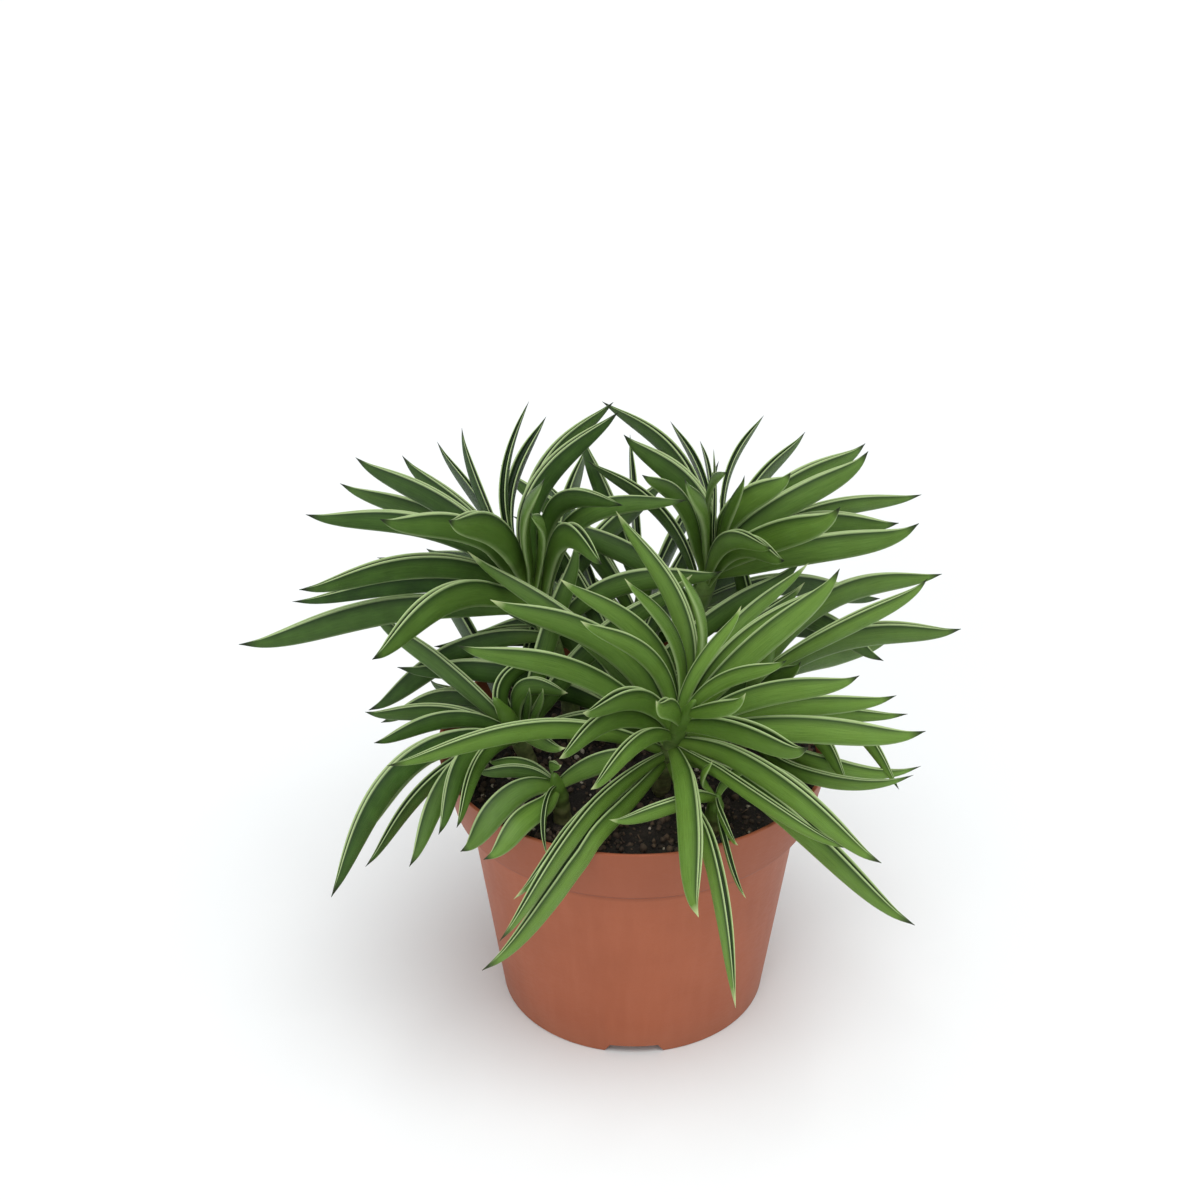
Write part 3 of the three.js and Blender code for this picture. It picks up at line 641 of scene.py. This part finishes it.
# ------------------------ fine stems
STEM_SIDES = 20
STEM_RINGS = 48
# A stem's radius as a share of STEM_RADIUS, how far it swells at its joints, in how many radians.
STEM_SLIMNESS = 0.93
STEM_SWELLING = 0.06
STEM_SWELLING_RATE = 46
# Its top narrows over this share of its length, and the least share keeps its end from closing.
STEM_NARROWING = 0.2
STEM_LEAST = 0.01


def stem_rings(stem):
    """A stem's skin: slightly swollen at the places where its leaves root."""
    t = np.linspace(0, 1, STEM_RINGS)
    middle = np.array([stem.point(u) for u in t])
    along = np.gradient(middle, axis=0)
    along /= np.linalg.norm(along, axis=1)[:, None]
    side = np.cross(along, [0.0, 1.0, 0.0])
    side /= np.linalg.norm(side, axis=1)[:, None]
    ahead = np.cross(along, side)
    swelling = STEM_SLIMNESS + STEM_SWELLING * np.sin(t * STEM_SWELLING_RATE)
    swell = STEM_RADIUS * swelling * np.sqrt(np.clip((1 - t) / STEM_NARROWING, STEM_LEAST, 1))
    turn = np.linspace(0, 2 * math.pi, STEM_SIDES, endpoint=False)
    ring = np.cos(turn)[None, :, None] * side[:, None] + np.sin(turn)[None, :, None] * ahead[:, None]
    return middle[:, None] + ring * swell[:, None, None]


def leafy_stem(stem, leaves, materials):
    """The stem as one piece and its leaves as another, which together stand for the stem's node."""
    skin = stem_rings(stem)
    along = np.repeat(np.linspace(0, 1, STEM_RINGS), STEM_SIDES)
    tube = tube_faces(STEM_RINGS, STEM_SIDES, 0)
    bark = new_object(
        "stem_of_" + stem.name, skin.reshape(-1, 3), tube, {"along": along}, materials["stem"]
    )
    points, faces = [], []
    shares = {}
    for number, leaf in leaves:
        rings, own = leaf_rings(leaf, number)
        count, around = rings.shape[:2]
        faces += tube_faces(count, around, len(points) * count * around)
        points.append(rings.reshape(-1, 3))
        for label, values in own.items():
            shares.setdefault(label, []).append(np.ravel(values))
    shares = {label: np.concatenate(values) for label, values in shares.items()}
    foliage = new_object("leaves_of_" + stem.name, np.concatenate(points), faces, shares, materials["leaf"])
    for piece in (bark, foliage):
        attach(piece, "root")
        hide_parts(stem.name)


# ------------------------ pot
POT_SEGMENTS = 192
# A rounded corner takes at most one part in this many of each side beside it.
CORNER_LIMIT = 2.2
# How far the cutters reach past what they cut: across the foot ring, and below the floor.
NOTCH_REACH = 6
CUT_PAST = 1
DRAIN_SIDES = 32
SHARP_DEGREES = 35
# Corners nearer than this, in millimetres, are one corner that a cut has doubled.
DOUBLED_CORNER = 0.01


def lathe(name, profile, segments, material):
    """A closed solid of revolution from (radius, height) points that start and end on the axis."""
    inner = profile[1:-1]
    turn = np.linspace(0, 2 * math.pi, segments, endpoint=False)
    points = [(0, 0, profile[0][1]), (0, 0, profile[-1][1])]
    for radius, height in inner:
        points += [(radius * math.cos(a), radius * math.sin(a), height) for a in turn]
    faces = []
    for k in range(segments):
        after = (k + 1) % segments
        faces.append((0, 2 + after, 2 + k))
        last = 2 + (len(inner) - 1) * segments
        faces.append((1, last + k, last + after))
        for ring in range(len(inner) - 1):
            low = 2 + ring * segments
            faces.append((low + k, low + after, low + segments + after, low + segments + k))
    return new_object(name, points, faces, {}, material)


def rounded(profile, radii, steps=4):
    """The profile with each corner that has a radius cut round."""
    points = []
    count = len(profile)
    for i, (corner, radius) in enumerate(zip(profile, radii)):
        here = np.array(corner, float)
        if not radius or i in (0, count - 1):
            points.append(tuple(here))
            continue
        before, after = np.array(profile[i - 1], float), np.array(profile[i + 1], float)
        back, ahead = unit(before - here), unit(after - here)
        sides = np.linalg.norm(before - here), np.linalg.norm(after - here)
        reach = min(radius, *(side / CORNER_LIMIT for side in sides))
        for k in range(steps + 1):
            points.append(tuple(quadratic(here + back * reach, here, here + ahead * reach, k / steps)))
    return points


def apply_cut(piece, cutter):
    """Take the cutter's form out of the piece, and remove the cutter."""
    modifier = piece.modifiers.new("cut", "BOOLEAN")
    modifier.operation = "DIFFERENCE"
    modifier.solver = "EXACT"
    modifier.object = cutter
    bpy.context.view_layer.objects.active = piece
    bpy.ops.object.modifier_apply(modifier=modifier.name)
    bpy.data.objects.remove(cutter)


def notch_cutter(turn, material):
    """The wedge that one drainage gap takes out of the foot ring."""
    low, high = NOTCH_LOW_WIDTH / 2, NOTCH_HIGH_WIDTH / 2
    half = [(low, -CUT_PAST), (low, 0), (high, NOTCH_HEIGHT)]
    outline = [(-low, -CUT_PAST), *half, (-high, NOTCH_HEIGHT), (-low, 0)]
    cosine, sine = math.cos(turn), math.sin(turn)
    points = []
    for out in (FOOT_RADIUS - NOTCH_REACH, FOOT_RADIUS + NOTCH_REACH):
        points += [(x * cosine + out * sine, x * sine - out * cosine, z) for x, z in outline]
    faces = tube_faces(2, len(outline), 0)
    return new_object("notch_cutter", points, faces, {}, material, smooth=False)


def drain_cutter(turn, material):
    """The upright rod that one drain hole takes out of the floor."""
    circle = np.linspace(0, 2 * math.pi, DRAIN_SIDES, endpoint=False)
    centre = (DRAIN_RING * math.cos(turn), DRAIN_RING * math.sin(turn))
    points = []
    for z in (-CUT_PAST, FLOOR_LIFT + 3 * FLOOR_THICKNESS):
        for a in circle:
            x, y = centre[0] + DRAIN_RADIUS * math.cos(a), centre[1] + DRAIN_RADIUS * math.sin(a)
            points.append((x, y, z))
    count = len(circle)
    faces = [tuple(reversed(range(count))), tuple(range(count, 2 * count))]
    for k in range(count):
        after = (k + 1) % count
        faces.append((k, after, after + count, k + count))
    return new_object("drain_cutter", points, faces, {}, material)


def make_pot(material):
    """The moulded pot: a turned profile with rounded corners, its drainage gaps and its drain holes."""
    collar_low = POT_HEIGHT - COLLAR_HEIGHT
    floor_top = FLOOR_LIFT + FLOOR_THICKNESS
    slope_end = PAD_RADIUS + PAD_SLOPE
    skirt = FOOT_RADIUS - POT_WALL
    shoulder = collar_low + POT_WALL
    wall_low = float(pot_radius(floor_top)) - POT_WALL
    corners = [
        ((0, 0), 0),
        ((PAD_RADIUS, 0), 1),
        ((slope_end, FLOOR_LIFT), 1),
        ((skirt, FLOOR_LIFT), 0.5),
        ((skirt, 0), 0.3),
        ((FOOT_RADIUS, 0), 0.6),
        ((BODY_TOP_RADIUS, collar_low), 0.5),
        ((COLLAR_LOW_RADIUS, collar_low), 1.1),
        ((POT_RIM_RADIUS, POT_HEIGHT), 0.6),
        ((POT_RIM_RADIUS - POT_WALL, POT_HEIGHT), 0.6),
        ((COLLAR_LOW_RADIUS - POT_WALL, shoulder), 0.8),
        ((BODY_TOP_RADIUS - POT_WALL, shoulder), 0.8),
        ((wall_low, floor_top), 1.5),
        ((slope_end, floor_top), 1),
        ((PAD_RADIUS, FLOOR_THICKNESS), 1),
        ((0, FLOOR_THICKNESS), 0),
    ]
    profile = rounded([place for place, _ in corners], [radius for _, radius in corners])
    pot = lathe("pot_moulding", profile, POT_SEGMENTS, material)
    for i in range(NOTCH_COUNT):
        apply_cut(pot, notch_cutter(i * 2 * math.pi / NOTCH_COUNT, material))
    for i in range(DRAIN_COUNT):
        apply_cut(pot, drain_cutter((i + 0.5) * 2 * math.pi / DRAIN_COUNT, material))
    finish_moulding(pot)
    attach(pot, "root")
    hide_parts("pot")


def finish_moulding(piece):
    """Mend the cuts' doubled corners and missing triangles, then shade smooth except across sharp edges."""
    shape = bmesh.new()
    shape.from_mesh(piece.data)
    bmesh.ops.remove_doubles(shape, verts=shape.verts, dist=DOUBLED_CORNER * MM)
    bmesh.ops.holes_fill(shape, edges=shape.edges, sides=3)
    for edge in shape.edges:
        sharp = len(edge.link_faces) != 2 or edge.calc_face_angle(0) > math.radians(SHARP_DEGREES)
        edge.smooth = not sharp
    for face in shape.faces:
        face.smooth = True
    shape.to_mesh(piece.data)
    shape.free()


# ------------------------ soil
SOIL_RINGS = 70
SOIL_SEGMENTS = 180
# The clods: how fine, how rough, how high, and how far their middle lies under the plain mound.
CLOD_SCALE = 0.16
CLOD_NOISE = (0.7, 2.1, 5)
CLOD_HEIGHT = 1.3
CLOD_SUNK = 0.8
# The loose pieces: grains from the least size up by a skewed draw, perlite beads, and long thin fibres.
CRUMB_COUNT = 2600
CRUMB_LEAST = 0.30
CRUMB_RANGE = 1.15
CRUMB_SKEW = 2.5
CRUMB_STRETCH = (0.6, 1.3)
CRUMB_LUMPS = 0.22
CRUMB_LIFT = 0.25
PERLITE_COUNT = 170
PERLITE_SIZE = (0.4, 1.1)
FIBRE_COUNT = 160
FIBRE_SIZE = 0.45
FIBRE_LENGTH = (3, 7)
FIBRE_SECTION = (0.5, 0.4)
# They keep inside this share of the soil's radius, and this far from the stems.
CRUMB_REACH = 0.985
CRUMB_CLEAR = 1.5


def rough_soil(x, y):
    """Height of the soil's surface, with clods and grains on the plain mound."""
    base = float(soil_height(x, y))
    place = Vector((x * CLOD_SCALE, y * CLOD_SCALE, 0))
    clods = noise.fractal(place, *CLOD_NOISE)
    return base - CLOD_SUNK + CLOD_HEIGHT * clods


def make_soil(stems, materials):
    """The block of soil with its rough surface, and the loose pieces that lie on it."""
    brim_radius = float(pot_radius(SOIL_LEVEL)) - POT_WALL - SOIL_GAP
    floor_top = FLOOR_LIFT + FLOOR_THICKNESS + SOIL_GAP
    inset = POT_WALL + SOIL_GAP
    shoulder = POT_HEIGHT - COLLAR_HEIGHT + inset
    wall = [
        (brim_radius, SOIL_LEVEL - SOIL_EDGE_DEPTH),
        (COLLAR_LOW_RADIUS - inset, shoulder),
        (BODY_TOP_RADIUS - inset, shoulder),
        (float(pot_radius(floor_top)) - inset, floor_top),
    ]
    turn = np.linspace(0, 2 * math.pi, SOIL_SEGMENTS, endpoint=False)
    points = [(0, 0, rough_soil(0, 0))]
    for ring in range(1, SOIL_RINGS + 1):
        radius = brim_radius * ring / SOIL_RINGS
        for a in turn:
            x, y = radius * math.cos(a), radius * math.sin(a)
            points.append((x, y, rough_soil(x, y)))
    for radius, height in wall:
        points += [(radius * math.cos(a), radius * math.sin(a), height) for a in turn]
    points.append((0, 0, floor_top))
    rings = SOIL_RINGS + len(wall)
    faces = []
    for k in range(SOIL_SEGMENTS):
        after = (k + 1) % SOIL_SEGMENTS
        faces.append((0, 1 + k, 1 + after))
        for ring in range(rings - 1):
            low = 1 + ring * SOIL_SEGMENTS
            faces.append((low + k, low + SOIL_SEGMENTS + k, low + SOIL_SEGMENTS + after, low + after))
        last = 1 + (rings - 1) * SOIL_SEGMENTS
        faces.append((last + after, last + k, len(points) - 1))
    bed = new_object("soil_bed", points, faces, {}, materials["soil"])
    crumbs = soil_crumbs(brim_radius, stems, materials["crumb"])
    for piece in (bed, crumbs):
        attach(piece, "root")
        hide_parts("soil")


def soil_crumbs(brim_radius, stems, material):
    """Loose grains, bark fibres and a few pale perlite beads lying on the soil."""
    draw = np.random.default_rng(GROWTH_SEED)
    ball = bmesh.new()
    bmesh.ops.create_icosphere(ball, subdivisions=1, radius=1)
    ball_points = np.array([vertex.co for vertex in ball.verts])
    ball_faces = [tuple(vertex.index for vertex in face.verts) for face in ball.faces]
    ball.free()
    surface = [STEM_SUNK / (stem.crown[2] - SOIL_LEVEL + STEM_SUNK) for stem in stems]
    feet = np.array([stem.point(share)[:2] for stem, share in zip(stems, surface)])
    points, faces, pale, tone = [], [], [], []
    for number in range(CRUMB_COUNT + PERLITE_COUNT + FIBRE_COUNT):
        radius = brim_radius * CRUMB_REACH * math.sqrt(draw.uniform())
        turn = draw.uniform(0, 2 * math.pi)
        x, y = radius * math.cos(turn), radius * math.sin(turn)
        size = CRUMB_LEAST + CRUMB_RANGE * draw.uniform() ** CRUMB_SKEW
        stretch = draw.uniform(*CRUMB_STRETCH, 3)
        is_perlite = number >= CRUMB_COUNT + FIBRE_COUNT
        if is_perlite:
            size = draw.uniform(*PERLITE_SIZE)
        elif number >= CRUMB_COUNT:
            stretch = np.array([draw.uniform(*FIBRE_LENGTH), *FIBRE_SECTION])
            size = FIBRE_SIZE
        size = min(size, (brim_radius - radius) / max(stretch[:2].max(), 1) + 0.1)
        if np.hypot(*(feet - (x, y)).T).min() < STEM_RADIUS + CRUMB_CLEAR:
            continue
        spin = draw.uniform(0, 2 * math.pi)
        bulges = 1 + draw.uniform(-CRUMB_LUMPS, CRUMB_LUMPS, (len(ball_points), 1))
        lumps = ball_points * bulges * stretch * size
        turned = lumps.copy()
        turned[:, 0] = lumps[:, 0] * math.cos(spin) - lumps[:, 1] * math.sin(spin)
        turned[:, 1] = lumps[:, 0] * math.sin(spin) + lumps[:, 1] * math.cos(spin)
        start = len(points) * len(ball_points)
        points.append(turned + (x, y, rough_soil(x, y) + size * CRUMB_LIFT))
        faces += [tuple(start + k for k in face) for face in ball_faces]
        pale += [float(is_perlite)] * len(ball_points)
        tone += [draw.uniform()] * len(ball_points)
    return new_object("soil_crumbs", np.concatenate(points), faces, {"pale": pale, "tone": tone}, material)


# ------------------------ materials
class Shader:
    """Builds one node material: each call adds a node, and links or sets its inputs by name."""

    def __init__(self, name):
        self.material = bpy.data.materials.new(name)
        self.material.use_nodes = True
        self.tree = self.material.node_tree
        self.tree.nodes.clear()
        self.output = self.tree.nodes.new("ShaderNodeOutputMaterial")

    def node(self, kind, inputs=None, **settings):
        node = self.tree.nodes.new("ShaderNode" + kind)
        for name, value in settings.items():
            setattr(node, name, value)
        for name, value in (inputs or {}).items():
            self.feed(node.inputs[name], value)
        return node

    def feed(self, socket, value):
        if isinstance(value, bpy.types.NodeSocket):
            self.tree.links.new(value, socket)
        elif isinstance(value, tuple) and len(value) == 3 and socket.type == "RGBA":
            socket.default_value = (*value, 1)
        else:
            socket.default_value = value

    def share(self, label):
        """One of the numbers stored on the mesh's points."""
        return self.node("Attribute", attribute_name=label).outputs["Fac"]

    def place(self, scale=(1, 1, 1)):
        """The point's place on the object, in metres, times a scale."""
        coordinates = self.node("TexCoord").outputs["Object"]
        return self.node("Mapping", {"Vector": coordinates, "Scale": scale}).outputs["Vector"]

    def clouds(self, place, scale, detail=4.0, roughness=0.55):
        inputs = {"Vector": place, "Scale": scale, "Detail": detail, "Roughness": roughness}
        return self.node("TexNoise", inputs).outputs["Fac"]

    def math(self, operation, a, b=0.0):
        node = self.node("Math", operation=operation)
        self.feed(node.inputs[0], a)
        self.feed(node.inputs[1], b)
        return node.outputs[0]

    def spread(self, value, low, high, to_low=0.0, to_high=1.0):
        """The value moved from one range to another, and held inside it."""
        inputs = {"Value": value, "From Min": low, "From Max": high, "To Min": to_low, "To Max": to_high}
        return self.node("MapRange", inputs).outputs["Result"]

    def blend(self, factor, a, b):
        """The colour from a to b at a factor from 0 to 1."""
        node = self.node("MixRGB", {"Fac": factor})
        self.feed(node.inputs["Color1"], a)
        self.feed(node.inputs["Color2"], b)
        return node.outputs["Color"]

    def bump(self, height, strength, distance, under=None):
        inputs = {"Height": height, "Strength": strength, "Distance": distance}
        if under:
            inputs["Normal"] = under
        return self.node("Bump", inputs).outputs["Normal"]

    def finish(self, **inputs):
        named = {name.replace("_", " "): value for name, value in inputs.items()}
        surface = self.node("BsdfPrincipled", named)
        self.tree.links.new(surface.outputs["BSDF"], self.output.inputs["Surface"])
        return self.material


def leaf_material():
    """Fleshy green skin: fine veins, a pale line along each margin, a dark groove, painted shade inside the
    plant.
    """
    skin = Shader("peperomia_leaf")
    margin, groove, along = skin.share("margin"), skin.share("groove"), skin.share("along")
    tint = skin.share("tint")
    lengthwise = skin.node(
        "CombineXYZ", {"X": skin.share("length"), "Y": skin.share("around"), "Z": tint}
    ).outputs["Vector"]
    stretched = skin.node("Mapping", {"Vector": lengthwise, "Scale": (0.05, 5.0, 30.0)}).outputs["Vector"]
    veins = skin.clouds(stretched, 3.0, 5.0, 0.6)
    mottle = skin.clouds(skin.place(), 160.0, 3.0)
    pores = skin.clouds(skin.place(), 2400.0, 2.0)

    # Patch, vein and body greens run from dark to light with each leaf's own tone and its painted shade.
    patch = skin.blend(tint, (0.040, 0.105, 0.013), (0.158, 0.300, 0.047))
    vein = skin.blend(tint, (0.066, 0.150, 0.024), (0.222, 0.385, 0.074))
    green = skin.blend(tint, (0.014, 0.048, 0.005), (0.152, 0.284, 0.036))
    green = skin.blend(skin.spread(mottle, 0.40, 0.7, 0, 0.7), green, patch)
    green = skin.blend(skin.spread(veins, 0.45, 0.72, 0, 0.65), green, vein)
    green = skin.blend(skin.spread(veins, 0.48, 0.25, 0, 0.7), green, (0.016, 0.056, 0.005))
    root = skin.spread(along, 0.25, 0.0)
    green = skin.blend(skin.math("MULTIPLY", root, 0.4), green, (0.190, 0.320, 0.050))
    green = skin.blend(skin.math("MULTIPLY", skin.share("shade"), 0.9), green, (0.006, 0.026, 0.003))
    # The groove is painted near-black: its own darker window along the fold, deepened with painted shade in
    # the crease.
    green = skin.blend(skin.math("MULTIPLY", groove, 0.95), green, (0.004, 0.018, 0.002))
    pale = skin.math("MULTIPLY", margin, skin.spread(veins, 0.2, 0.5, 0.6, 1.0))
    green = skin.blend(pale, green, (0.520, 0.660, 0.320))
    tip = skin.spread(along, 0.94, 0.98)
    tip_colour = skin.blend(skin.share("cream"), (0.008, 0.010, 0.004), (0.500, 0.580, 0.280))
    colour = skin.blend(skin.math("MULTIPLY", tip, 0.9), green, tip_colour)

    rough = skin.spread(pores, 0.3, 0.7, 0.38, 0.52)
    relief = skin.bump(veins, 0.35, 0.0005)
    relief = skin.bump(mottle, 0.3, 0.0008, relief)
    relief = skin.bump(pores, 0.15, 0.0001, relief)
    return skin.finish(
        Base_Color=colour,
        Roughness=rough,
        Normal=relief,
        Specular_IOR_Level=0.3,
        Subsurface_Weight=0.08,
        Subsurface_Radius=(0.35, 1.0, 0.15),
        Subsurface_Scale=0.001,
    )


def stem_material():
    """Green stem skin, browner low down, with rings where old leaves have dropped."""
    bark = Shader("peperomia_stem")
    place = bark.place()
    height = bark.node("SeparateXYZ", {"Vector": place}).outputs["Z"]
    mottle = bark.clouds(place, 420.0, 4.0)
    rings = bark.clouds(bark.place((0.15, 0.15, 1)), 700.0, 3.0)
    low = bark.spread(height, (SOIL_LEVEL + 25) * MM, SOIL_LEVEL * MM)
    green = bark.blend(bark.spread(mottle, 0.35, 0.7), (0.085, 0.150, 0.035), (0.190, 0.270, 0.080))
    brown = bark.blend(bark.spread(mottle, 0.35, 0.7), (0.085, 0.058, 0.030), (0.190, 0.150, 0.075))
    colour = bark.blend(bark.math("MULTIPLY", low, 0.7), green, brown)
    colour = bark.blend(bark.spread(rings, 0.56, 0.62, 0, 0.5), colour, (0.060, 0.045, 0.020))
    colour = bark.blend(bark.spread(bark.share("along"), 0.6, 0.85), colour, (0.100, 0.200, 0.024))
    relief = bark.bump(rings, 0.5, 0.0005)
    relief = bark.bump(mottle, 0.3, 0.0002, relief)
    return bark.finish(
        Base_Color=colour,
        Roughness=bark.spread(mottle, 0.3, 0.7, 0.42, 0.6),
        Normal=relief,
        Subsurface_Weight=0.08,
        Subsurface_Radius=(0.4, 1.0, 0.2),
        Subsurface_Scale=0.001,
    )


def pot_material():
    """Terracotta-coloured moulded plastic: faint flow marks, scuffs, dust near the foot, painted collar
    shade.
    """
    clay = Shader("terracotta_plastic")
    place = clay.place()
    height = clay.node("SeparateXYZ", {"Vector": place}).outputs["Z"]
    cloud = clay.clouds(place, 28.0, 3.0)
    flow = clay.clouds(clay.place((1, 1, 0.06)), 260.0, 3.0)
    grain = clay.clouds(place, 2600.0, 2.0)
    scuff = clay.clouds(clay.place((1, 1, 7)), 300.0, 6.0, 0.7)
    colour = clay.blend(clay.spread(cloud, 0.3, 0.7), (0.350, 0.098, 0.044), (0.408, 0.118, 0.055))
    colour = clay.blend(clay.spread(flow, 0.4, 0.75, 0, 0.35), colour, (0.450, 0.142, 0.072))
    colour = clay.blend(clay.spread(grain, 0.5, 0.8, 0, 0.25), colour, (0.310, 0.080, 0.036))
    dust = clay.spread(height, 12 * MM, 0.0, 0, 0.35)
    colour = clay.blend(clay.math("MULTIPLY", dust, cloud), colour, (0.440, 0.210, 0.125))
    colour = clay.blend(clay.spread(scuff, 0.66, 0.74, 0, 0.30), colour, (0.490, 0.190, 0.110))
    # Painted shade of the foliage: the collar is painted darker above its lower edge.
    collar_low = (POT_HEIGHT - COLLAR_HEIGHT) * MM
    collar = clay.spread(height, collar_low - 0.2 * MM, collar_low + 0.3 * MM, 0, 0.45)
    colour = clay.blend(collar, colour, (0.250, 0.070, 0.034))
    # Painted shadow under the collar's overhang: a dark band from just below its lower edge up over its
    # rounding.
    above_shadow_foot = clay.spread(height, collar_low - 4.6 * MM, collar_low - 2.6 * MM)
    below_shadow_top = clay.spread(height, collar_low + 1.1 * MM, collar_low + 0.6 * MM)
    line = clay.math("MULTIPLY", above_shadow_foot, below_shadow_top)
    colour = clay.blend(clay.math("MULTIPLY", line, 0.5), colour, (0.150, 0.040, 0.020))
    rough = clay.spread(scuff, 0.35, 0.75, 0.46, 0.62)
    relief = clay.bump(grain, 0.22, 0.00012)
    relief = clay.bump(flow, 0.12, 0.0003, relief)
    return clay.finish(
        Base_Color=colour,
        Roughness=rough,
        Normal=relief,
        Specular_IOR_Level=0.25,
    )


def soil_material():
    """Dark moist potting compost."""
    earth = Shader("potting_soil")
    place = earth.place()
    clods = earth.clouds(place, 260.0, 6.0, 0.65)
    fine = earth.clouds(place, 1500.0, 4.0, 0.7)
    colour = earth.blend(earth.spread(clods, 0.35, 0.7), (0.0060, 0.0045, 0.0035), (0.034, 0.024, 0.016))
    colour = earth.blend(earth.spread(fine, 0.6, 0.75, 0, 0.7), colour, (0.085, 0.060, 0.042))
    relief = earth.bump(clods, 0.8, 0.002)
    relief = earth.bump(fine, 0.9, 0.0008, relief)
    return earth.finish(
        Base_Color=colour,
        Roughness=earth.spread(fine, 0.3, 0.7, 0.98, 0.7),
        Normal=relief,
    )


def crumb_material():
    """Grains of compost and bark from black to brown, with pale perlite beads."""
    grain = Shader("soil_crumb")
    fine = grain.clouds(grain.place(), 2600.0, 4.0, 0.7)
    brown = grain.blend(grain.share("tone"), (0.008, 0.006, 0.005), (0.125, 0.080, 0.048))
    brown = grain.blend(grain.spread(fine, 0.35, 0.75, 0, 0.6), brown, (0.120, 0.085, 0.058))
    perlite = grain.blend(grain.spread(fine, 0.3, 0.7), (0.30, 0.25, 0.18), (0.62, 0.57, 0.47))
    return grain.finish(
        Base_Color=grain.blend(grain.share("pale"), brown, perlite),
        Roughness=grain.spread(fine, 0.3, 0.7, 0.95, 0.75),
        Normal=grain.bump(fine, 0.7, 0.0003),
    )


def floor_material():
    """Matte white studio floor with the faintest unevenness."""
    matte = Shader("studio_floor")
    cloud = matte.clouds(matte.place(), 3.0)
    return matte.finish(
        Base_Color=matte.blend(cloud, (0.842, 0.868, 0.876), (0.858, 0.884, 0.892)),
        Roughness=0.9,
        Specular_IOR_Level=0.1,
    )


# ------------------------ floor, light and camera
def make_floor():
    reach = FLOOR_REACH / MM
    corners = [(-reach, -reach, 0), (reach, -reach, 0), (reach, reach, 0), (-reach, reach, 0)]
    new_object("studio_floor", corners, [(0, 1, 2, 3)], {}, floor_material(), smooth=False)


def hang_lamp(name, lamp, place, turn):
    holder = bpy.data.objects.new(name, lamp)
    holder.location = place
    holder.rotation_euler = turn
    bpy.context.scene.collection.objects.link(holder)


def light_studio():
    sky = bpy.data.worlds.new("studio_sky")
    sky.use_nodes = True
    background = sky.node_tree.nodes["Background"]
    background.inputs["Color"].default_value = (1.0, 1.0, 1.0, 1.0)
    background.inputs["Strength"].default_value = SKY_STRENGTH
    bpy.context.scene.world = sky

    overhead = bpy.data.lights.new("overhead_light", "SUN")
    overhead.angle = math.radians(OVERHEAD_WIDTH)
    overhead.energy = OVERHEAD_POWER
    right, back = (math.radians(lean) for lean in OVERHEAD_LEAN)
    hang_lamp("overhead_light", overhead, OVERHEAD_PLACE, (-back, right, 0))

    place, aim, width, watts = FRONT_FILL
    fill = bpy.data.lights.new("front_fill", "AREA")
    fill.shape = "DISK"
    fill.size = width
    fill.energy = watts
    toward_aim = (Vector(aim) - Vector(place)).to_track_quat("-Z", "Y").to_euler()
    hang_lamp("front_fill", fill, place, toward_aim)
    bpy.context.scene.view_settings.view_transform = "Standard"


def place_camera():
    lens = bpy.data.cameras.new("photo_camera")
    lens.lens = CAMERA_LENS
    lens.sensor_width = CAMERA_SENSOR
    camera = bpy.data.objects.new("photo_camera", lens)
    camera.location = CAMERA_PLACE
    camera.rotation_euler = (math.radians(CAMERA_PITCH), 0, 0)
    bpy.context.scene.collection.objects.link(camera)
    bpy.context.scene.camera = camera


# ------------------------ building the scene
def main():
    stems, leaves = grow()
    materials = {
        "leaf": leaf_material(),
        "stem": stem_material(),
        "soil": soil_material(),
        "crumb": crumb_material(),
    }
    for stem in stems:
        own = [(number, leaf) for number, leaf in enumerate(leaves) if leaf.stem is stem]
        leafy_stem(stem, own, materials)
    make_pot(pot_material())
    make_soil(stems, materials)
    make_floor()
    light_studio()
    place_camera()


main()
